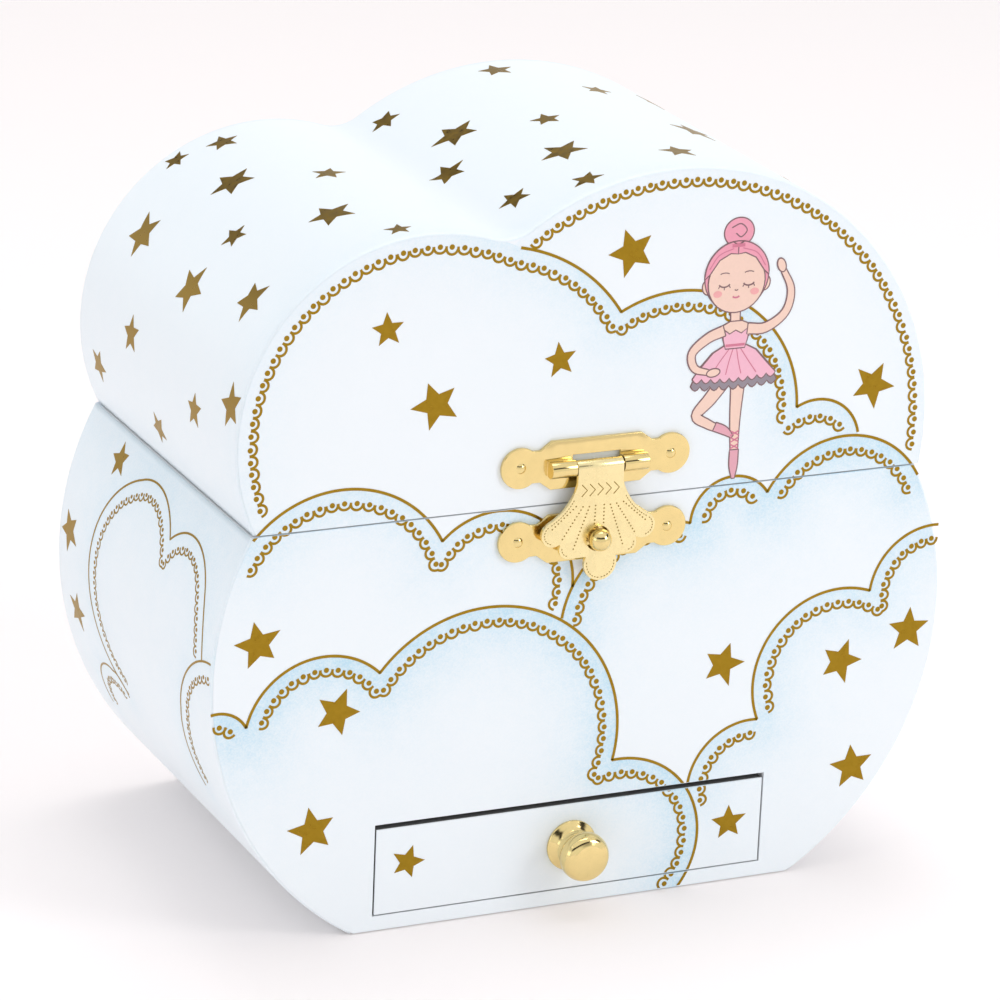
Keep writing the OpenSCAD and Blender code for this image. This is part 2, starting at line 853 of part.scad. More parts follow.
module dancer_tutu() {
    color("mistyrose") translate([0, train_y, foot_z]) difference() {
        translate([0, 0, 12.4]) cylinder(r1 = 9, r2 = 3, h = 3.4);
        translate([0, 0, 12]) cylinder(r = 2.45, h = 5);
    }
}

base_bottom_board();
base_front_board();
base_back_board();
base_left_wall();
base_right_wall();
base_front_paper();
base_side_papers();
drawer_bay_walls();
drawer_shelf();
trough_riser();
stage_board();
spindle_bush();
trough_divider();
ring_rolls();
clasp_lower_plate();
clasp_stud();
base_clasp_nails();
base_hinge_leaves();
hinge_pins();
movement_bedplate();
movement_screws();
music_comb();
governor_bracket();
lid_front_board();
lid_back_board();
lid_top_band();
lid_front_paper();
lid_top_paper();
mirror_board();
mirror();
clasp_upper_plate();
clasp_pin();
lid_clasp_nails();
lid_hinge_leaves();
stop_block();
clasp_hasp();
drawer_front_board();
drawer_front_paper();
drawer_left_side();
drawer_right_side();
drawer_back();
drawer_bottom();
drawer_lining();
drawer_knob();
knob_screw();
spring_barrel();
mainspring();
winding_arbor();
winding_key();
music_cylinder();
governor_gear();
governor_fly();
dancer_spindle();
dancer_turntable();
dancer_spring();
dancer_figure();
dancer_tutu();
stop_wire();
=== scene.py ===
"""Looks of the cloud-shaped ballerina jewellery box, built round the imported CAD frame.

Sizes are in millimetres in the row frame (X right, Y back, Z up) and turn into metres where a mesh is made.
"""
import math
import random
from contextlib import contextmanager

import bmesh
import bpy
import numpy as np
from mathutils import Matrix, Vector
from mathutils.geometry import delaunay_2d_cdt


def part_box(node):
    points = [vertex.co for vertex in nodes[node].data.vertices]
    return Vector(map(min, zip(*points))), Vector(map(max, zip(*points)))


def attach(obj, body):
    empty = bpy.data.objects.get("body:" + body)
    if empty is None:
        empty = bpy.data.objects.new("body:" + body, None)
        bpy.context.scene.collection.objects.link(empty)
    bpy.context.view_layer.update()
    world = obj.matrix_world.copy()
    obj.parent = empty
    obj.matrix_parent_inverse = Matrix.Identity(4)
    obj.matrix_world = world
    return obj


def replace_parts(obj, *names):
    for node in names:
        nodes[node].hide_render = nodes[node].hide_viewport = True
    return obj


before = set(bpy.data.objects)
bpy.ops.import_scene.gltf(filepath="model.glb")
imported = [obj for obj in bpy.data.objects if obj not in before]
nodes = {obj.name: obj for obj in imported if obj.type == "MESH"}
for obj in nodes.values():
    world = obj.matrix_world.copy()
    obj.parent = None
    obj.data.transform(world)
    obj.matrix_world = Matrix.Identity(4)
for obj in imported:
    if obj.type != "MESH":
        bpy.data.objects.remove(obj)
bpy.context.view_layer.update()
MM = 0.001


def low(node):
    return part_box(node)[0] / MM


def high(node):
    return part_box(node)[1] / MM


def link(obj):
    bpy.context.scene.collection.objects.link(obj)


@contextmanager
def edited(obj):
    """The object's mesh for editing, written back at the end."""
    mesh = bmesh.new()
    mesh.from_mesh(obj.data)
    yield mesh
    mesh.to_mesh(obj.data)
    mesh.free()


def drop_loose(mesh):
    """Deletes the points that no face uses."""
    bmesh.ops.delete(mesh, geom=[v for v in mesh.verts if not v.link_faces], context="VERTS")


# ---- driving places, from the frame ----

FRONT = low("base_front_paper").y
BACK = high("base_back_board").y
BASE_TOP = high("base_front_paper").z
LID_LOW = low("lid_front_paper").z
WIDEST = high("base_side_papers").x
DRAWER_LOW, DRAWER_HIGH = low("drawer_front_paper"), high("drawer_front_paper")
OPENING = dict(left=DRAWER_LOW.x - 0.4, right=DRAWER_HIGH.x + 0.4, low=low("base_front_board").z,
               top=DRAWER_HIGH.z + 1.1)

# round outlines, as the CAD draws them: centre x, centre z, radius
BASE_CX, BASE_CZ = 14.5, 56.0
BASE_R = WIDEST - BASE_CX
LEFT_LOBE = (-36.5, 105.0, 40.0)
RIGHT_LOBE = (16.5, 96.0, 58.0)
STUD_Z = 80.0
FLOOR_GAP = 0.1
NOTCH_R = 9.0
SHEET_INSET = 0.5  # how far the front sheets stop short of the edge
SHEET_THICKNESS = 0.28
SHEET_STEP = 1.6  # grid of the front sheets, which carries their wash
FOIL_LOW, FOIL_HIGH = -0.03, 0.05  # foil starts inside the paper and stands just proud of it


# ---- camera, floor and light ----

CAMERA_AZIMUTH, CAMERA_ELEVATION, CAMERA_ROLL = -25.07, 19.18, 2.44  # degrees
CAMERA_DISTANCE = 1035.9
CAMERA_AIM_Z, CAMERA_RIGHT, CAMERA_DOWN = 78, 0.24, 5.43
SENSOR_WIDTH, LENS_WIDTHS = 36, 5.0146  # the lens is that many sensor widths long


def look_camera():
    azimuth, elevation, roll = (math.radians(a) for a in (CAMERA_AZIMUTH, CAMERA_ELEVATION, CAMERA_ROLL))
    back = Vector((math.sin(azimuth) * math.cos(elevation), -math.cos(azimuth) * math.cos(elevation),
                   math.sin(elevation)))
    right = Vector((math.cos(azimuth), math.sin(azimuth), 0))
    up = back.cross(right)
    target = Vector((0, 0, CAMERA_AIM_Z)) + right * CAMERA_RIGHT - up * CAMERA_DOWN
    place = (target + back * CAMERA_DISTANCE) * MM
    side = right * math.cos(roll) + up * math.sin(roll)
    top = up * math.cos(roll) - right * math.sin(roll)
    data = bpy.data.cameras.new("camera")
    data.sensor_width = SENSOR_WIDTH
    data.lens = SENSOR_WIDTH * LENS_WIDTHS
    data.clip_start, data.clip_end = 0.05, 20
    camera = bpy.data.objects.new("camera", data)
    camera.matrix_world = Matrix.Translation(place) @ Matrix((side, top, back)).transposed().to_4x4()
    link(camera)
    bpy.context.scene.camera = camera


def area_light(name, place, size, power, color=(1, 1, 1)):
    data = bpy.data.lights.new(name, "AREA")
    data.energy, data.size, data.color = power, size, color
    light = bpy.data.objects.new(name, data)
    light.location = place
    light.rotation_euler = (Vector((0, 0, 0.08)) - Vector(place)).to_track_quat("-Z", "Y").to_euler()
    link(light)


def studio():
    world = bpy.data.worlds.new("studio")
    bpy.context.scene.world = world
    world.use_nodes = True
    bpy.context.scene.view_settings.view_transform = "Standard"
    tree = world.node_tree
    background = tree.nodes["Background"]
    background.inputs["Strength"].default_value = 0.98
    # a dark band part of the way up the studio gives the brass its contrast
    sky = tree.nodes.new("ShaderNodeTexCoord")
    split = tree.nodes.new("ShaderNodeSeparateXYZ")
    ramp = tree.nodes.new("ShaderNodeValToRGB")
    tree.links.new(sky.outputs["Generated"], split.inputs[0])
    tree.links.new(split.outputs["Z"], ramp.inputs[0])
    tree.links.new(ramp.outputs["Color"], background.inputs["Color"])
    white, dark = (0.97, 0.98, 1.0, 1), (0.03, 0.03, 0.03, 1)
    ramp.color_ramp.elements[0].position, ramp.color_ramp.elements[0].color = 0.30, white
    ramp.color_ramp.elements[1].position, ramp.color_ramp.elements[1].color = 0.95, white
    for position, color in ((0.43, dark), (0.58, dark), (0.66, white)):
        element = ramp.color_ramp.elements.new(position)
        element.color = color
    area_light("key", (0.85, -0.9, 0.7), 0.5, 4.2)
    area_light("top", (0.1, 0.25, 1.3), 0.8, 5.0)
    area_light("left_fill", (-1.1, -0.1, 0.5), 0.8, 1.5, (0.93, 0.97, 1.0))
    mesh = bpy.data.meshes.new("floor")
    half = 6.0
    corners = [(-half, -half, 0), (half, -half, 0), (half, half, 0), (-half, half, 0)]
    mesh.from_pydata(corners, [], [(0, 1, 2, 3)])
    floor = bpy.data.objects.new("floor", mesh)
    floor.location.z = -0.0002
    link(floor)
    mat, bsdf, _ = material("floor_white", (0.93, 0.875, 0.865), 0.75, Emission_Strength=0.08)
    bsdf.inputs["Emission Color"].default_value = (1, 1, 1, 1)
    floor.data.materials.append(mat)


# ---- materials ----

def material(name, color, roughness, metallic=0.0, **sockets):
    """A new node material; sockets sets further inputs of its shader by name, with _ for a space."""
    mat = bpy.data.materials.new(name)
    mat.use_nodes = True
    bsdf = mat.node_tree.nodes["Principled BSDF"]
    bsdf.inputs["Base Color"].default_value = (*color, 1)
    bsdf.inputs["Roughness"].default_value = roughness
    bsdf.inputs["Metallic"].default_value = metallic
    for key, value in sockets.items():
        bsdf.inputs[key.replace("_", " ")].default_value = value
    return mat, bsdf, mat.node_tree


def texture(tree, kind, scale, **settings):
    """A procedural texture in object space, in repeats per metre."""
    coordinates = tree.nodes.new("ShaderNodeTexCoord")
    node = tree.nodes.new(kind)
    node.inputs["Scale"].default_value = scale
    for key, value in settings.items():
        if key in node.inputs:
            node.inputs[key].default_value = value
        else:
            setattr(node, key, value)
    tree.links.new(coordinates.outputs["Object"], node.inputs["Vector"])
    return node


def add_bump(tree, bsdf, height, strength, distance):
    bump = tree.nodes.new("ShaderNodeBump")
    bump.inputs["Strength"].default_value = strength
    bump.inputs["Distance"].default_value = distance
    tree.links.new(height, bump.inputs["Height"])
    tree.links.new(bump.outputs["Normal"], bsdf.inputs["Normal"])


def mix_colors(tree, factor, a, b, mode="MIX"):
    """factor, a and b are sockets, or a number and colours."""
    node = tree.nodes.new("ShaderNodeMix")
    node.data_type, node.blend_type = "RGBA", mode
    for socket, value in ((node.inputs[0], factor), (node.inputs[6], a), (node.inputs[7], b)):
        if isinstance(value, bpy.types.NodeSocket):
            tree.links.new(value, socket)
        else:
            socket.default_value = value if isinstance(value, float) else (*value, 1)
    return node.outputs[2]


def spread(tree, value, low_in, high_in, low_out, high_out):
    node = tree.nodes.new("ShaderNodeMapRange")
    for socket, number in zip(node.inputs[1:5], (low_in, high_in, low_out, high_out)):
        socket.default_value = number
    tree.links.new(value, node.inputs[0])
    return node.outputs[0]


def vary_roughness(tree, bsdf, noise, low_out, high_out):
    tree.links.new(spread(tree, noise.outputs["Fac"], 0.3, 0.7, low_out, high_out), bsdf.inputs["Roughness"])


def printed_paper():
    """Coated paper: near white, with a grainy blue wash where the wash attribute is high."""
    mat, bsdf, tree = material("printed_paper", (0.9, 0.95, 1.0), 0.42, Coat_Weight=0.12, Coat_Roughness=0.25)
    wash = tree.nodes.new("ShaderNodeAttribute")
    wash.attribute_name = "wash"
    grain = texture(tree, "ShaderNodeTexNoise", 2600, Detail=2.0, Roughness=0.7)
    cloudy = texture(tree, "ShaderNodeTexNoise", 260, Detail=3.0, Roughness=0.6)
    speckle = tree.nodes.new("ShaderNodeMath")
    speckle.operation = "MULTIPLY"
    tree.links.new(spread(tree, grain.outputs["Fac"], 0.3, 0.7, 0.55, 1.25), speckle.inputs[0])
    tree.links.new(spread(tree, cloudy.outputs["Fac"], 0.3, 0.7, 0.8, 1.15), speckle.inputs[1])
    amount = tree.nodes.new("ShaderNodeMath")
    amount.operation = "MULTIPLY"
    amount.use_clamp = True
    tree.links.new(wash.outputs["Fac"], amount.inputs[0])
    tree.links.new(speckle.outputs[0], amount.inputs[1])
    color = mix_colors(tree, amount.outputs[0], (0.90, 0.945, 0.975), (0.50, 0.74, 0.88))
    tree.links.new(color, bsdf.inputs["Base Color"])
    add_bump(tree, bsdf, grain.outputs["Fac"], 0.05, 0.00005)
    return mat


def foil():
    """Hot-stamped gold foil, a little uneven."""
    mat, bsdf, tree = material("gold_foil", (0.40, 0.26, 0.04), 0.3, 1.0)
    uneven = texture(tree, "ShaderNodeTexNoise", 900, Detail=3.0)
    color = mix_colors(tree, uneven.outputs["Fac"], (0.27, 0.16, 0.012), (0.40, 0.245, 0.022))
    tree.links.new(color, bsdf.inputs["Base Color"])
    vary_roughness(tree, bsdf, uneven, 0.26, 0.42)
    return mat


def ink(name, color):
    """Flat printed colour with a trace of paper grain."""
    mat, bsdf, tree = material(name, color, 0.45)
    grain = texture(tree, "ShaderNodeTexNoise", 1800, Detail=2.0)
    darker = tuple(c * 0.93 for c in color)
    tree.links.new(mix_colors(tree, grain.outputs["Fac"], darker, color), bsdf.inputs["Base Color"])
    return mat


def brass(name, color, rough_low, rough_high):
    mat, bsdf, tree = material(name, color, rough_low, 1.0)
    smudge = texture(tree, "ShaderNodeTexNoise", 420, Detail=4.0, Roughness=0.65)
    fine = texture(tree, "ShaderNodeTexNoise", 3500, Detail=1.0)
    tint = tuple(c * 0.86 for c in color)
    tree.links.new(mix_colors(tree, smudge.outputs["Fac"], color, tint), bsdf.inputs["Base Color"])
    vary_roughness(tree, bsdf, smudge, rough_low, rough_high)
    add_bump(tree, bsdf, fine.outputs["Fac"], 0.06, 0.00003)
    return mat


def brushed_steel(name, color=(0.62, 0.62, 0.64), roughness=0.28):
    mat, bsdf, tree = material(name, color, roughness, 1.0)
    stretch = tree.nodes.new("ShaderNodeMapping")
    stretch.inputs["Scale"].default_value = (1, 14, 14)
    lines = texture(tree, "ShaderNodeTexNoise", 500, Detail=3.0)
    source = lines.inputs["Vector"].links[0].from_socket
    tree.links.new(source, stretch.inputs["Vector"])
    tree.links.new(stretch.outputs[0], lines.inputs["Vector"])
    vary_roughness(tree, bsdf, lines, roughness - 0.06, roughness + 0.14)
    add_bump(tree, bsdf, lines.outputs["Fac"], 0.08, 0.00004)
    return mat


def plastic(name, color, roughness=0.35, coat=0.0):
    mat, bsdf, tree = material(name, color, roughness, Coat_Weight=coat)
    flow = texture(tree, "ShaderNodeTexNoise", 300, Detail=3.0)
    shade = tuple(c * 0.94 for c in color)
    tree.links.new(mix_colors(tree, flow.outputs["Fac"], color, shade), bsdf.inputs["Base Color"])
    vary_roughness(tree, bsdf, flow, roughness - 0.05, roughness + 0.1)
    return mat


def card(name, color, fleck):
    """Pressed board or uncoated paper with fibres."""
    mat, bsdf, tree = material(name, color, 0.8)
    fibres = texture(tree, "ShaderNodeTexNoise", 1400, Detail=5.0, Roughness=0.7)
    tree.links.new(mix_colors(tree, fibres.outputs["Fac"], color, fleck), bsdf.inputs["Base Color"])
    add_bump(tree, bsdf, fibres.outputs["Fac"], 0.12, 0.00008)
    return mat


def velvet():
    mat, bsdf, tree = material("rose_velvet", (0.78, 0.36, 0.46), 0.85,
                               Sheen_Weight=0.9, Sheen_Roughness=0.35)
    bsdf.inputs["Sheen Tint"].default_value = (1.0, 0.80, 0.86, 1)
    pile = texture(tree, "ShaderNodeTexNoise", 5200, Detail=2.0, Roughness=0.8)
    brushed = texture(tree, "ShaderNodeTexNoise", 160, Detail=3.0)
    soft = mix_colors(tree, brushed.outputs["Fac"], (0.70, 0.30, 0.40), (0.86, 0.46, 0.56))
    tree.links.new(mix_colors(tree, pile.outputs["Fac"], soft, (0.93, 0.62, 0.70)), bsdf.inputs["Base Color"])
    add_bump(tree, bsdf, pile.outputs["Fac"], 0.5, 0.0002)
    return mat


MATERIALS = {}


def paint(obj, name):
    """Gives obj the named material."""
    obj.data.materials.clear()
    obj.data.materials.append(MATERIALS[name])
    return obj


# ---- flat drawing: arcs, clouds, lace and stars in the plane ----

def circle_through(a, b, c):
    """Centre and radius of the circle through three points."""
    ax, ay, bx, by, cx, cy = *a, *b, *c
    d = 2 * (ax * (by - cy) + bx * (cy - ay) + cx * (ay - by))
    x = ((ax**2 + ay**2) * (by - cy) + (bx**2 + by**2) * (cy - ay) + (cx**2 + cy**2) * (ay - by)) / d
    y = ((ax**2 + ay**2) * (cx - bx) + (bx**2 + by**2) * (ax - cx) + (cx**2 + cy**2) * (bx - ax)) / d
    return np.array((x, y)), math.hypot(ax - x, ay - y)


def turn_between(center, a, through, b):
    """Start angle and signed turn of the arc from a past through to b."""
    start, middle, end = (math.atan2(p[1] - center[1], p[0] - center[0]) for p in (a, through, b))
    full = (end - start) % (2 * math.pi)
    part = (middle - start) % (2 * math.pi)
    return start, full if part <= full else full - 2 * math.pi


class Arc:
    def __init__(self, a, through, b, center=None, radius=None):
        self.center, self.radius = circle_through(a, through, b) if center is None else (center, radius)
        self.start, self.turn = turn_between(self.center, a, through, b)
        self.ends = (np.array(a, float), np.array(b, float))

    def middle(self):
        return self.at(0.5)

    def at(self, t):
        angle = self.start + self.turn * t
        return self.center + self.radius * np.array((math.cos(angle), math.sin(angle)))

    def points(self, step=0.8):
        count = max(2, int(self.length() / step))
        return [self.at(i / count) for i in range(count + 1)]

    def length(self):
        return abs(self.turn) * self.radius


def cloud_arcs(points):
    """Arcs through start, middle, cusp, middle, cusp ..., end."""
    return [Arc(points[i], points[i + 1], points[i + 2]) for i in range(0, len(points) - 2, 2)]


def circles_meet(c0, r0, c1, r1, near):
    """Where two circles cross, closest to near; None if they miss."""
    between = c1 - c0
    distance = np.linalg.norm(between)
    if distance < 1e-6 or distance > r0 + r1 or distance < abs(r0 - r1):
        return None
    along = (r0**2 - r1**2 + distance**2) / (2 * distance)
    across = math.sqrt(max(r0**2 - along**2, 0))
    unit = between / distance
    normal = np.array((-unit[1], unit[0]))
    found = [c0 + along * unit + side * across * normal for side in (-1, 1)]
    return min(found, key=lambda p: np.linalg.norm(p - near))


def lengthened(arcs, start, end):
    """The arcs with the first and last drawn on by start and end millimetres."""
    result = list(arcs)
    for index, more in ((0, start), (-1, end)):
        arc = result[index]
        if more:
            longer = Arc(arc.ends[0], arc.middle(), arc.ends[1], arc.center, arc.radius)
            sign = math.copysign(more / arc.radius, arc.turn)
            longer.turn += sign
            if index == 0:
                longer.start -= sign
            longer.ends = (longer.at(0), longer.at(1))
            result[index] = longer
    return result


def inset_arcs(arcs, inset):
    """The same arcs drawn inset inside their circles, joined where neighbours cross."""
    result = []
    for i, arc in enumerate(arcs):
        ends = []
        before, after = arcs[i - 1] if i else None, arcs[i + 1] if i + 1 < len(arcs) else None
        for end, other in zip(arc.ends, (before, after)):
            meet = None
            if other is not None:
                meet = circles_meet(arc.center, arc.radius - inset, other.center, other.radius - inset, end)
            if meet is None:
                outward = (end - arc.center) / arc.radius
                meet = end - outward * inset
            ends.append(meet)
        outward = (arc.middle() - arc.center) / arc.radius
        result.append(Arc(ends[0], arc.middle() - outward * inset, ends[1], arc.center, arc.radius - inset))
    return result


def lace_cups(arcs, pitch=2.6, depth=1.5):
    """Cups hung along the arcs, open outward, each with a dot: lists of strokes and of dot centres."""
    strokes, dots = [], []
    wobble = random.Random(7)
    for arc in arcs:
        count = max(1, round(arc.length() / pitch))
        half = arc.length() / count / 2
        for i in range(count):
            center = arc.at((i + 0.5) / count)
            out = (center - arc.center) / arc.radius
            along = np.array((-out[1], out[0]))
            reach = half * wobble.uniform(0.92, 1.04)
            drop = depth * wobble.uniform(0.9, 1.1)
            stroke = []
            for k in range(13):
                angle = math.pi * k / 12
                bulge = 1 + 0.10 * math.sin(angle) ** 2
                stroke.append(center + along * reach * bulge * math.cos(angle) - out * drop * math.sin(angle))
            strokes.append(stroke)
            dots.append(center - out * 0.12 + along * wobble.uniform(-0.12, 0.12))
    return strokes, dots


def star_points(center, radius, turn, seed):
    """A hand-cut five-pointed star."""
    uneven = random.Random(seed)
    points = []
    for i in range(10):
        reach = radius * (uneven.uniform(0.94, 1.08) if i % 2 == 0 else 0.46 * uneven.uniform(0.94, 1.06))
        angle = math.radians(turn) + i * math.pi / 5
        points.append(np.array(center) + reach * np.array((math.cos(angle), math.sin(angle))))
    return points


def inside(point, polygon):
    """True where point lies in the closed polygon."""
    x, y = point
    hit = False
    for (x0, y0), (x1, y1) in zip(polygon, polygon[1:] + polygon[:1]):
        if (y0 > y) != (y1 > y) and x < (x1 - x0) * (y - y0) / (y1 - y0) + x0:
            hit = not hit
    return hit


def inside_mask(points, polygon):
    """inside() for many points at once."""
    x, y = points[:, 0], points[:, 1]
    hit = np.zeros(len(points), bool)
    for (x0, y0), (x1, y1) in zip(polygon, polygon[1:] + polygon[:1]):
        if y0 != y1:
            hit ^= ((y0 > y) != (y1 > y)) & (x < (x1 - x0) * (y - y0) / (y1 - y0) + x0)
    return hit


# ---- outlines of the box ----

class Outline:
    """Round stretches one after another; at(s) is a point that far along, with its outward normal."""

    def __init__(self, parts):
        self.parts = [(np.array(c), r, math.radians(a0), math.radians(a1), sign)
                      for c, r, a0, a1, sign in parts]
        self.lengths = [r * abs(a1 - a0) for _, r, a0, a1, _ in self.parts]
        self.length = sum(self.lengths)

    def at(self, s, out=0.0):
        s = min(max(s, 0.0), self.length)
        for (center, r, a0, a1, sign), length in zip(self.parts, self.lengths):
            if s <= length or length is self.lengths[-1]:
                angle = a0 + (a1 - a0) * s / length
                normal = sign * np.array((math.cos(angle), math.sin(angle)))
                return center + normal * sign * r + normal * out, normal
            s -= length

    def start_of(self, part, degrees):
        """Distance along the outline to an angle on one of its stretches."""
        _, r, a0, _, _ = self.parts[part]
        return sum(self.lengths[:part]) + r * abs(math.radians(degrees) - a0)

    def points(self, step, out=0.0):
        count = int(self.length / step)
        return [self.at(self.length * i / count, out)[0] for i in range(count + 1)]


def lid_outline():
    left, right = np.array(LEFT_LOBE[:2]), np.array(RIGHT_LOBE[:2])
    reach_left, reach_right = LEFT_LOBE[2] + NOTCH_R, RIGHT_LOBE[2] + NOTCH_R
    notch = circles_meet(left, reach_left, right, reach_right, np.array((-20.0, 160.0)))
    left_meets = math.degrees(math.atan2(*(notch - left)[::-1]))
    right_meets = math.degrees(math.atan2(*(notch - right)[::-1]))
    seam_left = 180 + math.degrees(math.asin((left[1] - LID_LOW) / LEFT_LOBE[2]))
    seam_right = -math.degrees(math.asin((right[1] - LID_LOW) / RIGHT_LOBE[2]))
    return Outline([
        (left, LEFT_LOBE[2], seam_left, left_meets, 1),
        (notch, NOTCH_R, left_meets - 180, right_meets - 180, -1),
        (right, RIGHT_LOBE[2], right_meets, seam_right, 1),
    ])


def base_side(side):
    """Outline of one side of the base, from the seam down to the floor."""
    top = math.degrees(math.asin((BASE_TOP - BASE_CZ) / BASE_R))
    foot = -math.degrees(math.asin(BASE_CZ / BASE_R))
    center = (side * BASE_CX, BASE_CZ)
    if side > 0:
        return Outline([(center, BASE_R, top, foot, 1)])
    return Outline([(center, BASE_R, 180 - top, 180 - foot, 1)])


# ---- meshes ----

def new_object(name, vertices, faces, smooth=False):
    mesh = bpy.data.meshes.new(name)
    mesh.from_pydata([tuple(float(c) * MM for c in v) for v in vertices], [], [tuple(f) for f in faces])
    mesh.validate()
    obj = bpy.data.objects.new(name, mesh)
    link(obj)
    if smooth:
        mesh.shade_smooth()
    return obj


def front_place(point, height):
    return (point[0], FRONT - height, point[1])


class Build:
    """Gathers closed prisms and ribbons on a surface into one mesh."""

    def __init__(self, place=front_place, fine=0.0):
        self.place, self.fine, self.vertices, self.faces = place, fine, [], []

    def prism(self, loop, base=FOIL_LOW, top=FOIL_HIGH):
        """A flat shape with upright sides from a closed loop of plane points."""
        loop = [np.array(p, float) for p in loop]
        inner = []
        if self.fine:
            loop = [a + (b - a) * i / 4 for a, b in zip(loop, loop[1:] + loop[:1]) for i in range(4)]
            x0, y0 = np.min(loop, axis=0)
            x1, y1 = np.max(loop, axis=0)
            columns, rows = np.arange(x0, x1, self.fine), np.arange(y0, y1, self.fine)
            grid = np.array([(x, y) for x in columns for y in rows])
            inner = list(grid[inside_mask(grid, [tuple(p) for p in loop])])
        first = len(self.vertices)
        ring = [(i, (i + 1) % len(loop)) for i in range(len(loop))]
        flat, _, triangles, _, _, _ = delaunay_2d_cdt([Vector(p) for p in [*loop, *inner]], ring, [], 0, 1e-5)
        outline = [tuple(p) for p in loop]
        kept = []
        for triangle in triangles:
            a, b, c = (flat[i] for i in triangle)
            if inside(tuple((a + b + c) / 3), outline):
                kept.append(list(triangle) if (b - a).cross(c - a) > 0 else list(reversed(triangle)))
        count = len(flat)
        self.vertices += [self.place(p, top) for p in flat] + [self.place(p, base) for p in flat]
        edges = {(t[k], t[(k + 1) % 3]) for t in kept for k in range(3)}
        for triangle in kept:
            self.faces.append([first + i for i in triangle])
            self.faces.append([first + count + i for i in reversed(triangle)])
        for a, b in sorted(edges):
            if (b, a) not in edges:
                self.faces.append([first + a, first + count + a, first + count + b, first + b])

    def disc(self, center, radius, sides=12, **heights):
        self.prism([center + radius * np.array((math.cos(a), math.sin(a)))
                    for a in (2 * math.pi * i / sides for i in range(sides))], **heights)

    def ribbon(self, line, width, base=FOIL_LOW, top=FOIL_HIGH):
        """A stroke of even width along a line of plane points, closed at both ends."""
        line = [np.array(p, float) for p in line]
        if len(line) < 2:
            return
        first = len(self.vertices)
        for i, point in enumerate(line):
            ahead = line[min(i + 1, len(line) - 1)] - line[max(i - 1, 0)]
            ahead /= max(np.linalg.norm(ahead), 1e-9)
            across = np.array((-ahead[1], ahead[0])) * width / 2
            for offset, height in ((across, top), (-across, top), (-across, base), (across, base)):
                self.vertices.append(self.place(point + offset, height))
        for i in range(len(line) - 1):
            a, b = first + 4 * i, first + 4 * i + 4
            for k in range(4):
                n = (k + 1) % 4
                self.faces.append([a + k, a + n, b + n, b + k])
        last = first + 4 * (len(line) - 1)
        self.faces += [[first + 3, first + 2, first + 1, first], [last, last + 1, last + 2, last + 3]]

    def object(self, name):
        obj = new_object(name, self.vertices, self.faces)
        with edited(obj) as mesh:
            drop_loose(mesh)
            bmesh.ops.recalc_face_normals(mesh, faces=mesh.faces)
        return obj


def cut(obj, *planes):
    """Keeps what lies on the positive side of each (point, normal) plane, and closes the cut faces."""
    with edited(obj) as mesh:
        for point, normal in planes:
            geometry = mesh.verts[:] + mesh.edges[:] + mesh.faces[:]
            result = bmesh.ops.bisect_plane(mesh, geom=geometry, plane_co=Vector(point) * MM,
                                            plane_no=Vector(normal), clear_inner=True, dist=1e-7)
            edges = [e for e in result["geom_cut"] if isinstance(e, bmesh.types.BMEdge) and e.is_boundary]
            bmesh.ops.edgeloop_fill(mesh, edges=edges)
    return obj


def copy_of(obj, name):
    twin = bpy.data.objects.new(name, obj.data.copy())
    link(twin)
    return twin


def join(name, objects):
    """One mesh object from several, which are removed."""
    mesh = bmesh.new()
    materials = []
    for obj in objects:
        offset = {}
        for i, mat in enumerate(obj.data.materials):
            if mat not in materials:
                materials.append(mat)
            offset[i] = materials.index(mat)
        before = len(mesh.faces)
        mesh.from_mesh(obj.data)
        mesh.faces.ensure_lookup_table()
        for face in mesh.faces[before:]:
            face.material_index = offset.get(face.material_index, 0)
    joined = bpy.data.meshes.new(name)
    mesh.to_mesh(joined)
    mesh.free()
    for mat in materials:
        joined.materials.append(mat)
    for obj in objects:
        bpy.data.objects.remove(obj)
    result = bpy.data.objects.new(name, joined)
    link(result)
    return result


# ---- the printed picture on the front: places in X and Z ----

SEAM = (BASE_TOP + LID_LOW) / 2
LID_CLOUD = cloud_arcs([
    (-72.2, 87.3), (-62.2, 135.7), (-18.1, 140.6), (-6.3, 135.9), (4.2, 125.6), (22.5, 128.3),
    (44.6, 102.0), (52.0, 102.8), (59.2, 93.7)])
SEAM_LEFT = cloud_arcs([(-72.4, 86.2), (-51.0, 94.6), (-32.4, 81.8), (-19.1, 86.8), (-3.7, 68.2)])
SEAM_RIGHT = cloud_arcs([
    (-5.7, 61.7), (1.5, 75.6), (22.0, 79.7), (30.0, 88.6), (39.1, 84.5), (54.0, 94.6), (73.6, 84.6)])
BASE_RIGHT = cloud_arcs([
    (79.4, 73.2), (70.0, 70.4), (64.3, 60.4), (44.5, 56.5), (39.9, 35.1), (29.5, 31.8), (24.6, 20.5)])
BASE_LEFT = cloud_arcs([
    (-80.4, 51.0), (-76.2, 50.6), (-72.9, 47.5), (-62.0, 59.6), (-44.8, 55.6), (-17.0, 66.4), (7.2, 30.3),
    (22.0, 24.9), (23.7, 0.2)])


def line_of(arcs):
    return [p for arc in arcs for p in arc.points()]


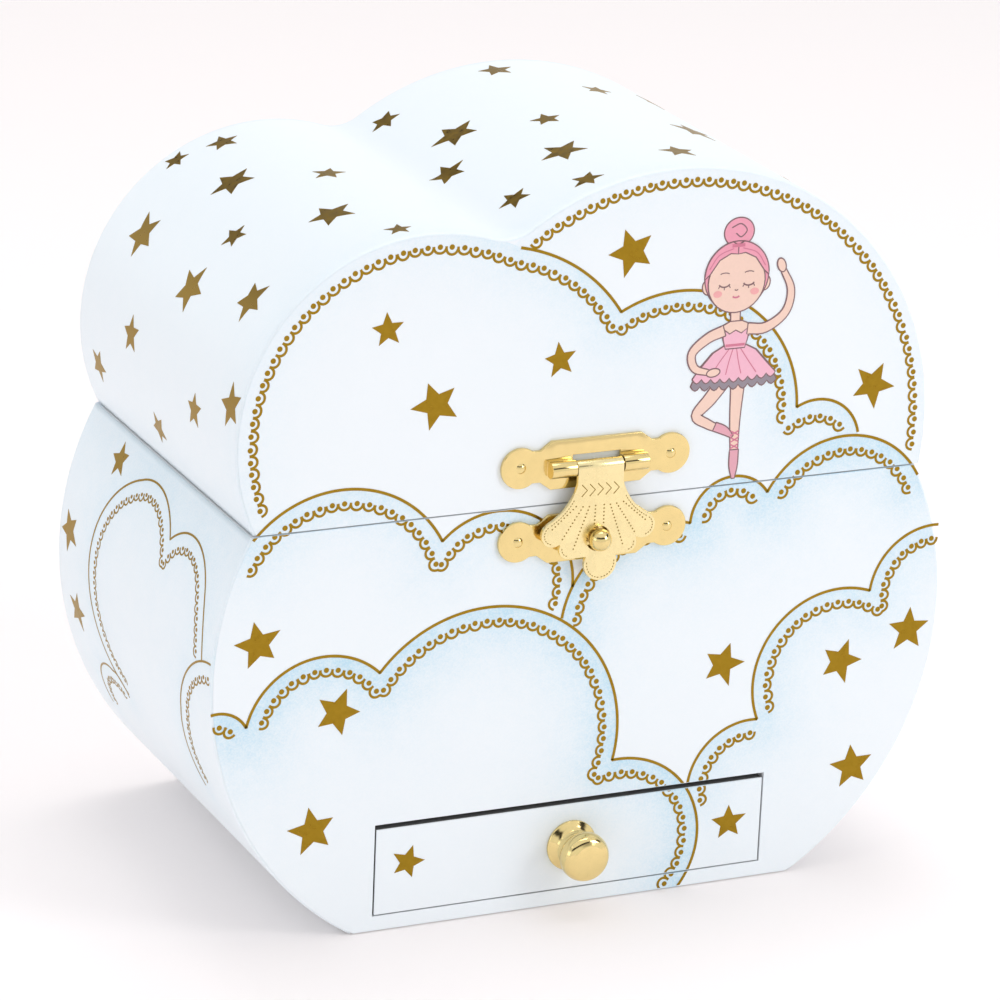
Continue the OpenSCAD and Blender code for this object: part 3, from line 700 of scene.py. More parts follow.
def picture():
    """The clouds from back to front: name, edge arcs, closing points and strength of the wash."""
    lid_lobe = [Arc((-19.7, 141.3), (16.5, 154.0), (73.8, 87.2), np.array(RIGHT_LOBE[:2]), RIGHT_LOBE[2])]
    return [
        dict(arcs=lid_lobe, close=[(-19.7, LID_LOW)], wash=0.14, drawn=False),
        dict(arcs=LID_CLOUD, close=[(59.2, 80), (-72.2, 80)], wash=0.55, drawn=True, fade=True,
             tail=(3.0, [(42.0, 97.0), (48.3, 99.8), (57.0, 94.4)])),
        dict(arcs=SEAM_LEFT, close=[(-4.2, -5), (-90, -5), (-90, 70)], wash=0.5, drawn=True, more=(7, 5)),
        dict(arcs=SEAM_RIGHT, close=[(90, 84), (90, -5), (-5.7, -5)], wash=0.8, drawn=True, more=(4, 3)),
        dict(arcs=BASE_RIGHT, close=[(24.6, -5), (90, -5), (90, 73)], wash=0.6, drawn=True, more=(0, 4)),
        dict(arcs=BASE_LEFT, close=[(23.7, -5), (-90, -5), (-90, 51)], wash=0.8, drawn=True, more=(0, 3)),
    ]


def region_of(cloud):
    return [tuple(p) for p in line_of(cloud["arcs"])] + [tuple(p) for p in cloud["close"]]


CLOUDS = picture()
REGIONS = [region_of(cloud) for cloud in CLOUDS]
LACE_INSET = 2.8
LINE_START = -18.1  # the lid cloud's line starts here; further left, the lid's edge takes its place
LINE_WIDTH = 0.6
CUP_WIDTH = 0.52
EDGE_LACE_INSET = 2.4

LID_STARS = [((-45.6, 126.4), 3.5, 95), ((-34.9, 110.2), 5.2, 112), ((-8.6, 116.9), 3.6, 98),
             ((5.9, 137.7), 5.2, 110), ((61.6, 105.2), 5.0, 62)]
BASE_STARS = [((-70.8, 64.6), 4.9, 102), ((-53.7, 48.3), 5.0, 68), ((-58.3, 23.7), 5.3, 100),
              ((31.3, 48.2), 4.8, 72), ((58.5, 45.6), 4.9, 70), ((74.0, 50.8), 4.8, 88),
              ((62.7, 21.7), 4.9, 96),
              ((-37.4, 14.1), 3.7, 72), ((34.7, 12.9), 4.0, 92)]


def front_foil():
    """Cloud lines, lace and stars over the whole front, before it is cut at the seam and the drawer."""
    build = Build()
    for k, cloud in enumerate(CLOUDS):
        covers = REGIONS[k + 1:]
        shown = lambda p: not any(inside(p, region) for region in covers)
        if cloud["drawn"]:
            run = []
            for point in line_of(cloud["arcs"]):
                on_edge = k == 1 and point[0] < LINE_START
                if shown(point) and not on_edge:
                    run.append(point)
                elif run:
                    build.ribbon(run, LINE_WIDTH)
                    run = []
            build.ribbon(run, LINE_WIDTH)
        inset = EDGE_LACE_INSET if k == 0 else LACE_INSET
        laced = inset_arcs(lengthened(cloud["arcs"], *cloud.get("more", (0, 0))), inset)
        if "tail" in cloud:  # the lace of the last small bump has its own path
            more, points = cloud["tail"]
            laced = lengthened(laced[:-1], 0, more) + cloud_arcs(points)
        strokes, dots = lace_cups(laced)
        for i, (stroke, dot) in enumerate(zip(strokes, dots)):
            if inside_panel(dot) and shown(dot) and all(shown(p) for p in stroke):
                build.ribbon(stroke, CUP_WIDTH, top=0.046 - 0.006 * (i % 2))
                build.disc(dot, 0.56, top=0.043)
    for i, (center, radius, turn) in enumerate(LID_STARS + BASE_STARS):
        build.prism(star_points(center, radius, turn, i))
    return build.object("front_foil")


def inside_panel(point):
    x, z = point
    if z > SEAM:
        left = math.hypot(x - LEFT_LOBE[0], z - LEFT_LOBE[1]) < LEFT_LOBE[2] - 0.8
        right = math.hypot(x - RIGHT_LOBE[0], z - RIGHT_LOBE[1]) < RIGHT_LOBE[2] - 0.8
        return left or right
    return math.hypot(abs(x) - BASE_CX, z - BASE_CZ) < BASE_R - 0.8 or abs(x) < BASE_CX


def split_front_foil(whole):
    """Cuts the drawing where the lid, base and drawer part, so that each part keeps its own piece."""
    up, down, left, right = (0, 0, 1), (0, 0, -1), (-1, 0, 0), (1, 0, 0)
    x0, x1 = OPENING["left"] - 0.1, OPENING["right"] + 0.1
    lid = cut(copy_of(whole, "lid_front_foil"), ((0, 0, LID_LOW + 0.05), up))
    above = cut(copy_of(whole, "a"), ((0, 0, BASE_TOP - 0.05), down), ((0, 0, OPENING["top"] + 0.1), up))
    beside = [
        cut(copy_of(whole, "b"), ((0, 0, OPENING["top"] + 0.1), down), ((x0, 0, 0), left)),
        cut(copy_of(whole, "c"), ((0, 0, OPENING["top"] + 0.1), down), ((x1, 0, 0), right)),
        cut(copy_of(whole, "d"), ((0, 0, OPENING["low"] - 0.1), down), ((0, 0, 0.3), up), ((x0, 0, 0), right),
            ((x1, 0, 0), left)),
    ]
    base = join("base_front_foil", [above, *beside])
    drawer = cut(copy_of(whole, "drawer_front_foil"), ((0, 0, DRAWER_HIGH.z - 0.1), down),
                 ((0, 0, DRAWER_LOW.z + 0.1), up), ((DRAWER_LOW.x + 0.1, 0, 0), right),
                 ((DRAWER_HIGH.x - 0.1, 0, 0), left))
    bpy.data.objects.remove(whole)
    for piece, body in ((lid, "lid"), (base, "base"), (drawer, "drawer")):
        paint(piece, "foil")
        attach(piece, body)


def distance_to(points, line):
    """Distance from each point to a polyline."""
    best = np.full(len(points), 1e9)
    for a, b in zip(line, line[1:]):
        step = b - a
        t = np.clip(((points - a) @ step) / max(step @ step, 1e-9), 0, 1)
        best = np.minimum(best, np.linalg.norm(points - (a + t[:, None] * step), axis=1))
    return best


def wash_at(points, centers):
    """Strength of the blue wash at each point, by the front-most cloud that holds its face's centre."""
    value = np.full(len(points), 0.03)
    for cloud, region in zip(CLOUDS, REGIONS):
        held = inside_mask(centers, region)
        if held.any():
            line = line_of(cloud["arcs"])[::3]
            far = distance_to(points[held], line)
            share = np.interp(points[held][:, 0], (-45, 5), (0.3, 1.0)) if cloud.get("fade") else 1.0
            value[held] = 0.03 + cloud["wash"] * share * (0.75 * np.exp(-(far / 8.0) ** 1.5)
                                                          + 0.25 * np.exp(-far / 20))
    return value


def sheet_mesh(name, loops, thickness=SHEET_THICKNESS, step=SHEET_STEP):
    """A flat sheet on the front, its wash painted per corner; loops[0] is the outside, the rest holes."""
    points, edges = [], []
    for loop in loops:
        first = len(points)
        points += [tuple(p) for p in loop]
        edges += [(first + i, first + (i + 1) % len(loop)) for i in range(len(loop))]
    limits = np.array(loops[0])
    for cloud in CLOUDS:
        line = [tuple(p) for p in line_of(cloud["arcs"])[::2]]
        first = len(points)
        points += line
        edges += [(first + i, first + i + 1) for i in range(len(line) - 1)]
    x0, z0 = limits.min(0)
    x1, z1 = limits.max(0)
    grid = np.array([(x, z) for x in np.arange(x0, x1, step) for z in np.arange(z0, z1, step)])
    grid = grid[inside_mask(grid, [tuple(p) for p in loops[0]])]
    points += [tuple(p) for p in grid]
    flat, _, faces, _, _, _ = delaunay_2d_cdt([Vector(p) for p in points], edges, [], 0, 1e-4)
    flat = np.array([tuple(p) for p in flat])
    faces = np.array([f for f in faces if len(f) == 3])
    centers = flat[faces].mean(1)
    keep = inside_mask(centers, [tuple(p) for p in loops[0]])
    for hole in loops[1:]:
        keep &= ~inside_mask(centers, [tuple(p) for p in hole])
    faces, centers = faces[keep], centers[keep]
    a, b, c = flat[faces[:, 0]], flat[faces[:, 1]], flat[faces[:, 2]]
    turned = ((b - a)[:, 0] * (c - a)[:, 1] - (b - a)[:, 1] * (c - a)[:, 0]) < 0
    faces[turned] = faces[turned][:, ::-1]
    count = len(flat)
    vertices = [front_place(p, 0) for p in flat] + [front_place(p, -thickness) for p in flat]
    solid = [list(f) for f in faces] + [[count + i for i in reversed(f)] for f in faces]
    seen = {}
    for f in faces:
        for k in range(3):
            seen[(f[k], f[(k + 1) % 3])] = True
    rim = [(i, j) for i, j in seen if (j, i) not in seen]
    solid += [[i, count + i, count + j, j] for i, j in rim]
    obj = new_object(name, vertices, solid)
    corners = np.array([flat[i % count] for f in solid for i in f])
    middle = np.array([flat[[i % count for i in f]].mean(0) for f in solid for _ in f])
    store_wash(obj, wash_at(corners, middle))
    with edited(obj) as mesh:
        drop_loose(mesh)
    return obj


def store_wash(obj, values):
    attribute = obj.data.color_attributes.new("wash", "FLOAT_COLOR", "CORNER")
    colors = np.repeat(np.asarray(values, np.float32)[:, None], 4, 1)
    colors[:, 3] = 1
    attribute.data.foreach_set("color", colors.ravel())


def rectangle(x0, x1, z0, z1, step=4.0):
    """Closed loop of points round a rectangle."""
    across = int((x1 - x0) / step) + 1
    upward = int((z1 - z0) / step) + 1
    loop = [(x0 + (x1 - x0) * i / across, z0) for i in range(across)]
    loop += [(x1, z0 + (z1 - z0) * i / upward) for i in range(upward)]
    loop += [(x1 - (x1 - x0) * i / across, z1) for i in range(across)]
    loop += [(x0, z1 - (z1 - z0) * i / upward) for i in range(upward)]
    return loop


def reach(lobe, side, z):
    """Where a sheet's edge, SHEET_INSET inside a round lobe, meets height z on one side."""
    cx, cz, radius = lobe
    return (cx + side * math.sqrt((radius - SHEET_INSET) ** 2 - (z - cz) ** 2), z)


def front_sheets():
    lid_edge = [tuple(p) for p in lid_outline().points(1.2, -SHEET_INSET)]
    lid_edge = [reach(LEFT_LOBE, -1, LID_LOW), *lid_edge, reach(RIGHT_LOBE, 1, LID_LOW)]
    lid = sheet_mesh("lid_front_sheet", [lid_edge])
    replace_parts(lid, "lid_front_paper")
    right = base_side(1).points(1.2, -SHEET_INSET)
    left = base_side(-1).points(1.2, -SHEET_INSET)
    lobes = [(side * BASE_CX, BASE_CZ, BASE_R) for side in (1, -1)]
    base_edge = [reach(lobes[0], 1, BASE_TOP), *(tuple(p) for p in right), reach(lobes[0], 1, FLOOR_GAP),
                 reach(lobes[1], -1, FLOOR_GAP), *(tuple(p) for p in reversed(left)),
                 reach(lobes[1], -1, BASE_TOP)]
    hole = rectangle(OPENING["left"], OPENING["right"], OPENING["low"], OPENING["top"])
    base = sheet_mesh("base_front_sheet", [base_edge, hole])
    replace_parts(base, "base_front_paper")
    drawer = sheet_mesh("drawer_front_sheet",
                        [rectangle(DRAWER_LOW.x, DRAWER_HIGH.x, DRAWER_LOW.z, DRAWER_HIGH.z)])
    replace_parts(drawer, "drawer_front_paper")
    for piece, body in ((lid, "lid"), (base, "base"), (drawer, "drawer")):
        paint(piece, "paper")
        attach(piece, body)


# ---- papers that wrap round the box ----

def wrap_profile():
    """The wrap's section, as (inset, y) round a closed loop; the long outer stretch comes first."""
    corner = 0.45
    front, back = FRONT + 0.1, BACK
    outer = [(SHEET_INSET, front)]
    for i in range(7):
        angle = math.pi / 2 * i / 6
        outer.append((corner - corner * math.sin(angle), front + corner - corner * math.cos(angle)))
    steps = 44
    y0, y1 = front + corner, back - 0.3
    outer += [(0.0, y0 + (y1 - y0) * i / steps) for i in range(1, steps + 1)]
    outer += [(0.09, back - 0.09), (0.3, back)]
    inner = [(0.3, FRONT + 0.7), (0.36, FRONT + 0.42), (SHEET_INSET, FRONT + 0.31)]
    return outer, inner


def wrap(name, outline, wash, step=1.2):
    """Paper swept along an outline, rounded over the front edge. wash(s, y) paints it."""
    outer, inner = wrap_profile()
    ring = outer + inner
    count = int(outline.length / step)
    vertices, values = [], []
    for i in range(count + 1):
        s = outline.length * i / count
        for inset, y in ring:
            point, _ = outline.at(s, -inset)
            vertices.append((point[0], y, point[1]))
            values.append(wash(s, y))
    size = len(ring)
    faces = []
    for i in range(count):
        for k in range(size):
            n = (k + 1) % size
            faces.append([i * size + k, i * size + n, (i + 1) * size + n, (i + 1) * size + k])
    faces.append(list(range(size)))
    faces.append([count * size + k for k in reversed(range(size))])
    obj = new_object(name, vertices, faces)
    outward(obj)
    for polygon in obj.data.polygons:
        polygon.use_smooth = len(polygon.vertices) == 4
    indices = np.zeros(len(obj.data.loops), int)
    obj.data.loops.foreach_get("vertex_index", indices)
    store_wash(obj, np.array(values)[indices])
    return obj


def surface_of(outline):
    """Places drawings on a curved side: plane points are (distance along the outline, y)."""
    def place(point, height):
        spot, _ = outline.at(float(point[0]), height)
        return (spot[0], float(point[1]), spot[1])
    return place


# stars on the lid's band: lobe (0 left, 2 right), angle on it, y, radius, turn
BAND_STARS = [
    (0, 108.0, 35.9, 3.6, 10), (0, 94.5, 2.0, 3.4, 60), (0, 117.2, 15.5, 5.0, 100), (0, 145.4, 26.7, 5.4, 40),
    (0, 107.0, -20.3, 5.0, 25), (0, 97.2, -38.2, 2.8, 75), (0, 149.3, -3.9, 5.2, 130),
    (0, 141.6, -28.5, 4.6, 45),
    (0, 171.8, 14.9, 4.0, 10), (0, 189.4, 33.5, 3.8, 120), (0, 178.2, -21.7, 3.6, 75),
    (0, 169.1, -39.3, 4.6, 20),
    (0, 193.8, 0.1, 3.6, 100), (0, 122.0, 39.5, 3.0, 50), (0, 130.0, -5.0, 3.2, 85),
    (2, 94.2, 36.6, 3.8, 15), (2, 121.5, 34.0, 3.6, 50), (2, 115.4, 10.5, 5.2, 100), (2, 99.6, -0.2, 3.4, 10),
    (2, 79.3, 18.9, 3.2, 70), (2, 104.9, -19.7, 5.0, 40), (2, 124.5, -3.0, 4.2, 15),
    (2, 107.8, -37.1, 3.4, 55),
    (2, 85.6, -31.9, 3.8, 90), (2, 120.5, -29.0, 3.6, 30), (2, 70.0, -8.0, 5.0, 25), (2, 62.0, 26.0, 3.6, 80),
    (2, 56.0, -29.0, 3.8, 50), (2, 47.0, 6.0, 5.2, 110), (2, 38.0, 33.0, 3.6, 35), (2, 33.0, -19.0, 4.8, 70),
    (2, 22.0, 12.0, 3.8, 15), (2, 14.0, -34.0, 4.2, 95), (2, 8.0, 30.0, 5.0, 60), (2, 1.0, -6.0, 3.8, 25),
]
# clouds on the base's sides, in (distance down from the seam, y) on the left side
SIDE_STARS = [(157.2, 22.0, 3.9, 20), (175.2, 38.0, 4.6, 80), (189.8, 34.5, 4.2, 50)]


def side_clouds():
    """Three cloud outlines low on each side, as arcs in (distance down, y)."""
    tall = cloud_arcs([(53.6, 10.0), (33.0, 25.4), (5.9, 9.0), (4.4, -0.5), (11.5, -12.3), (7.6, -20.5),
                       (14.5, -34.0), (20.5, -36.6), (27.5, -38.4)])
    near = cloud_arcs([(59.0, -29.0), (50.5, -25.6), (42.0, -26.4), (31.0, -32.6), (26.8, -43.2)])
    small = cloud_arcs([(64.0, 30.0), (53.0, 26.0), (50.9, 17.5), (51.6, 13.2), (54.6, 10.4)])
    return [tall, near, small]


def side_paper(side):
    outline = base_side(side)
    lines = [np.array(line_of(arcs)) for arcs in side_clouds()]
    every = np.concatenate(lines)

    def wash(s, y):
        near = np.min(np.linalg.norm(every - np.array((s, y)), axis=1))
        return 0.10 + 0.22 * math.exp(-near / 6) + 0.16 * math.exp(-s / 14)

    paper = wrap("left_side_sheet" if side < 0 else "right_side_sheet", outline, wash)
    paint(paper, "paper")
    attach(paper, "base")
    build = Build(surface_of(outline), 1.3)
    for arcs in side_clouds():
        build.ribbon(line_of(arcs), 0.45)
        strokes, dots = lace_cups(inset_arcs(arcs, 3.0), 2.3, 1.3)
        for stroke, dot in zip(strokes, dots):
            if abs(dot[1]) < 42.5 and dot[0] < outline.length - 4:
                build.ribbon(stroke, 0.36)
                build.disc(dot, 0.42)
    for i, (angle, y, radius, turn) in enumerate(SIDE_STARS):
        s = outline.start_of(0, angle if side < 0 else 180 - angle)
        build.prism(star_points((s, y), radius, turn, 50 + i))
    foil_piece = build.object("left_side_foil" if side < 0 else "right_side_foil")
    foil_piece = cut(foil_piece, ((0, FRONT + 0.9, 0), (0, 1, 0)), ((0, 0, 1.0), (0, 0, 1)))
    paint(foil_piece, "foil")
    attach(foil_piece, "base")
    return paper


def wrapped_papers():
    left = side_paper(-1)
    side_paper(1)
    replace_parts(left, "base_side_papers")
    outline = lid_outline()

    def wash(s, y):
        edge = min(s, outline.length - s)
        return 0.05 + 0.10 * math.exp(-edge / 25) + 0.10 * math.exp(-(y - FRONT) / 8)

    band = wrap("lid_band_sheet", outline, wash)
    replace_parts(band, "lid_top_paper")
    paint(band, "paper")
    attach(band, "lid")
    build = Build(surface_of(outline), 1.3)
    for i, (part, angle, y, radius, turn) in enumerate(BAND_STARS):
        build.prism(star_points((outline.start_of(part, angle), y), radius, turn, 90 + i))
    stars = paint(build.object("lid_band_foil"), "foil")
    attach(stars, "lid")


# ---- smooth lines, tubes and turned shapes ----

def smooth_line(points, per=6):
    """A smooth curve through the points, per steps to each stretch."""
    points = [np.array(p, float) for p in points]
    padded = [2 * points[0] - points[1], *points, 2 * points[-1] - points[-2]]
    line = []
    for i in range(1, len(padded) - 2):
        a, b, c, d = padded[i - 1:i + 3]
        for k in range(per):
            t = k / per
            line.append(0.5 * (2 * b + (c - a) * t + (2 * a - 5 * b + 4 * c - d) * t**2
                               + (3 * b - a - 3 * c + d) * t**3))
    return line + [points[-1]]


def grid_faces(rings, sides, closed=True):
    """Quads between rings of points, which wrap round if closed."""
    faces = []
    for i in range(rings - 1):
        for k in range(sides if closed else sides - 1):
            n = (k + 1) % sides
            faces.append([i * sides + k, i * sides + n, (i + 1) * sides + n, (i + 1) * sides + k])
    return faces


def capped(rings):
    """Vertices and faces of a closed skin over rings of equal counts."""
    sides = len(rings[0])
    vertices = [p for ring in rings for p in ring]
    faces = grid_faces(len(rings), sides)
    faces.append(list(reversed(range(sides))))
    faces.append([(len(rings) - 1) * sides + k for k in range(sides)])
    return vertices, faces


def outward(obj):
    with edited(obj) as mesh:
        bmesh.ops.recalc_face_normals(mesh, faces=mesh.faces)
    return obj


def limb(name, stations, sides=20, per=6, flat=1.0):
    """A round-ended tube through (x, y, z, radius) stations; flat squeezes it along Y."""
    line = smooth_line(stations, per)
    centers = [p[:3] for p in line]
    radii = [max(p[3], 0.05) for p in line]
    rings = []
    side = np.array((1.0, 0.0, 0.0))
    for i, center in enumerate(centers):
        ahead = centers[min(i + 1, len(centers) - 1)] - centers[max(i - 1, 0)]
        ahead /= np.linalg.norm(ahead)
        side = side - ahead * (side @ ahead)
        side /= np.linalg.norm(side)
        other = np.cross(ahead, side)
        steps = [(0.0, 1.0)]
        if i == 0:
            steps = [(-math.sin(a), max(math.cos(a), 0.05)) for a in (1.4, 1.0, 0.5, 0.0)]
        elif i == len(centers) - 1:
            steps = [(math.sin(a), max(math.cos(a), 0.05)) for a in (0.0, 0.5, 1.0, 1.4)]
        for forward, share in steps:
            ring = []
            for k in range(sides):
                angle = 2 * math.pi * k / sides
                around = (side * math.cos(angle) + other * math.sin(angle)) * radii[i] * share
                ring.append(center + ahead * forward * radii[i] + around * np.array((1, flat, 1)))
            rings.append(ring)
    return outward(new_object(name, *capped(rings), smooth=True))


def turned(name, profile, place, sides=72):
    """A turned solid from (radius, distance along the axis) pairs that start and end on the axis."""
    rings = [[place(max(r, 0.01) * math.cos(a), max(r, 0.01) * math.sin(a), along)
              for a in (2 * math.pi * k / sides for k in range(sides))] for r, along in profile]
    obj = outward(new_object(name, *capped(rings)))
    for polygon in obj.data.polygons:
        polygon.use_smooth = len(polygon.vertices) == 4
    return obj


def ball(name, center, radii, sides=28, tilt=0.0):
    """An ellipsoid, tilted about X by tilt degrees."""
    turn = Matrix.Rotation(math.radians(tilt), 3, "X")
    rings = []
    for i in range(sides // 2 + 1):
        polar = math.pi * min(max(i / (sides // 2), 0.004), 0.996)
        ring = []
        for k in range(sides):
            angle = 2 * math.pi * k / sides
            spot = turn @ Vector((radii[0] * math.sin(polar) * math.cos(angle),
                                  radii[1] * math.sin(polar) * math.sin(angle), radii[2] * math.cos(polar)))
            ring.append(np.array(center) + np.array(spot))
        rings.append(ring)
    return outward(new_object(name, *capped(rings), smooth=True))


def dress(obj, name):
    """Gives obj the named material."""
    obj.data.materials.clear()
    obj.data.materials.append(MATERIALS[name])
    return obj


# ---- clasp, knob and key ----

def rounded(node, width, look):
    """A copy of a CAD node with its sharp edges rounded, which stands for the node."""
    piece = copy_of(nodes[node], node + "_rounded")
    mesh = bmesh.new()
    mesh.from_mesh(piece.data)
    bmesh.ops.remove_doubles(mesh, verts=mesh.verts, dist=1e-6)
    bmesh.ops.dissolve_limit(mesh, angle_limit=0.02, verts=mesh.verts, edges=mesh.edges)
    sharp = [e for e in mesh.edges if len(e.link_faces) == 2 and e.calc_face_angle() > 0.6]
    bmesh.ops.bevel(mesh, geom=sharp, offset=width * MM, segments=3, profile=0.5, affect="EDGES",
                    clamp_overlap=True)
    bmesh.ops.triangulate(mesh, faces=[f for f in mesh.faces if len(f.verts) > 4])
    for face in mesh.faces:
        face.smooth = True
    for edge in mesh.edges:
        edge.smooth = len(edge.link_faces) == 2 and edge.calc_face_angle() < 0.5
    mesh.to_mesh(piece.data)
    mesh.free()
    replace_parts(piece, node)
    paint(piece, look)
    return piece


OUTER_LOBE = (9.85, 81.7, 2.6)  # the hasp's lobes on one side and its tab: centre and radius
INNER_LOBE = (6.4, 78.4, 2.1)
TAB = (0.7, 74.7, 3.6)
FLARE = (16.8, 94.8, 12.2)
RAYS = [((0.95, 87.0), (1.0, 83.2)), ((2.3, 86.9), (5.4, 78.3)), ((3.7, 87.0), (7.9, 80.6)),
        ((5.2, 87.2), (10.2, 82.9))]


def shell_border(inset):
    """Short dashes inside the edge of the shell and of its tab, as pairs of end points."""
    pairs = []
    for side in (-1, 1):
        for (cx, cz, r), start, end, mirrored in (((*FLARE[:2], FLARE[2] + 2 * inset), 209, 241, True),
                                                  (OUTER_LOBE, 58, -80, True), (INNER_LOBE, 14, -84, True),
                                                  (TAB, 10, -88, False)):
            count = max(2, round(math.radians(abs(start - end)) * (r - inset) / 0.62))
            for i in range(count):
                pair = []
                for t in (i + 0.2, i + 0.75):
                    angle = math.radians(start + (end - start) * t / count)
                    x = (r - inset) * math.cos(angle)
                    x = side * (cx + x) if mirrored else cx + side * x
                    pair.append(np.array((x, cz + (r - inset) * math.sin(angle))))
                pairs.append(pair)
    return pairs


def hasp_engraving():
    """Chevrons, dashed border and dotted rays, pressed into the hasp."""
    face = low("clasp_hasp").y
    build = Build(lambda p, height: (p[0], face - height, p[1]))
    heights = dict(base=-0.05, top=0.025)
    for i in range(5):
        x = -4.1 + 1.75 * i
        build.ribbon([(x, 91.6), (x + 1.2, 90.35), (x, 89.1)], 0.2, **heights)
    for side in (-1, 1):
        for start, end in RAYS:
            start, end = np.array(start), np.array(end)
            count = round(np.linalg.norm(end - start) / 0.78)
            for k in range(count + 1):
                spot = (start + (end - start) * k / count) * (side, 1)
                if np.linalg.norm(spot - (0, STUD_Z)) > 3.1:
                    build.disc(spot, 0.17, sides=8, **heights)
    for a, b in shell_border(0.6):
        build.ribbon([a, b], 0.17, **heights)
    piece = paint(build.object("hasp_engraving"), "engraving")
    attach(piece, "hasp")


def hardware():
    for node, body in (("clasp_upper_plate", "lid"), ("clasp_lower_plate", "base")):
        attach(rounded(node, 0.3, "clasp"), body)
    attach(rounded("clasp_hasp", 0.25, "hasp"), "hasp")
    hasp_engraving()
    key = rounded("winding_key", 0.25, "hinge")
    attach(key, "barrel")
    start, end = low("drawer_knob"), high("drawer_knob")
    x, z = (start.x + end.x) / 2, (start.z + end.z) / 2
    length = end.y - start.y
    neck = smooth_line([(5.4, 0.55), (4.7, 1.15), (3.9, 1.9), (3.45, 3.2), (3.6, 4.4), (4.5, 5.3)], 5)
    shoulder = smooth_line([(5.15, 6.0), (5.15, 6.9), (4.95, 7.7), (4.4, 8.6), (3.35, length - 0.05)], 5)
    profile = [(0, 0), (5.3, 0), (5.4, 0.1), *map(tuple, neck), (5.0, 5.5), *map(tuple, shoulder),
               (3.2, length), (0, length)]
    knob = turned("drawer_knob_turned", profile, lambda a, b, along: (x + a, FRONT - along, z + b))
    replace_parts(paint(knob, "clasp"), "drawer_knob")
    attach(knob, "drawer")


# ---- soft pieces ----

def ring_rolls():
    """Foam ring rolls in velvet: soft-ended, a little slack between neighbours."""
    start, end = low("ring_rolls"), high("ring_rolls")
    radius, count, sides, end_round = (end.z - start.z) / 2, 5, 48, 2.4
    pitch = (end.x - start.x - 2 * radius) / (count - 1)
    rolls = []
    for n in range(count):
        uneven = random.Random(20 + n)
        waves = [(uneven.uniform(0.15, 0.5), uneven.randint(1, 3), uneven.uniform(0, 6.3)) for _ in range(5)]
        x, z = start.x + radius + n * pitch, start.z + radius
        rings = []
        steps = 72
        for i in range(steps + 1):
            t = (1 - math.cos(math.pi * i / steps)) / 2
            y = start.y + (end.y - start.y) * t
            edge = min(y - start.y, end.y - y)
            share = math.sqrt(max(1 - (1 - min(edge / end_round, 1)) ** 2, 0.0009))
            ring = []
            for k in range(sides):
                angle = 2 * math.pi * k / sides
                ripple = sum(math.sin(f * y + m * angle + shift) for f, m, shift in waves) / len(waves)
                flat = 0.10 * max(0.0, -math.sin(angle)) ** 3
                pinch = 0.035 * (1 - abs(math.sin(angle))) ** 2
                seam = 0.05 * math.exp(-((angle - 1.5 * math.pi) / 0.10) ** 2)
                r = radius * share * (0.985 - flat - pinch - seam + 0.012 * ripple)
                ring.append((x + r * math.cos(angle), y, z + r * math.sin(angle)))
            rings.append(ring)
        roll = outward(new_object(f"ring_roll_{n + 1}", *capped(rings), smooth=True))
        paint(roll, "velvet")
        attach(roll, "base")
        rolls.append(roll)
    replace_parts(rolls[0], "ring_rolls")


def cloth_plate(name, spot, thickness, columns, rows):
    """A closed sheet over a grid; spot(u, v) is its middle surface in millimetres, u and v from 0 to 1."""
    points = np.array([[spot(i / columns, k / rows) for i in range(columns + 1)] for k in range(rows + 1)])
    across = np.gradient(points, axis=1)
    along = np.gradient(points, axis=0)
    normal = np.cross(across, along)
    normal /= np.linalg.norm(normal, axis=2, keepdims=True)
    top = (points + normal * thickness / 2).reshape(-1, 3)
    bottom = (points - normal * thickness / 2).reshape(-1, 3)
    width = columns + 1
    faces = []
    for k in range(rows):
        for i in range(columns):
            a = k * width + i
            faces.append([a, a + 1, a + width + 1, a + width])
    count = len(top)
    faces += [[count + i for i in reversed(f)] for f in faces]
    rim = [i for i in range(columns)] + [k * width + columns for k in range(rows)]
    rim += [rows * width + i for i in range(columns, 0, -1)] + [k * width for k in range(rows, 0, -1)]
    faces += [[a, count + a, count + b, b] for a, b in zip(rim, rim[1:] + rim[:1])]
    return outward(new_object(name, [*top, *bottom], faces, smooth=True))


def drawer_lining():
    start, end = low("drawer_lining"), high("drawer_lining")

    def spot(u, v):
        x, y = start.x + 0.2 + (end.x - start.x - 0.4) * u, start.y + 0.2 + (end.y - start.y - 0.4) * v
        lift = 0.07 * math.sin(0.17 * x + 0.8) * math.sin(0.13 * y) + 0.04 * math.sin(0.41 * x + 0.31 * y)
        edge = min(u, 1 - u, v, 1 - v)
        return (x, y, start.z + 0.38 + lift + 0.12 * math.exp(-edge * 40))

    lining = cloth_plate("drawer_velvet", spot, 0.5, 72, 64)
    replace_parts(paint(lining, "velvet"), "drawer_lining")
    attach(lining, "drawer")


# ---- the turning dancer ----

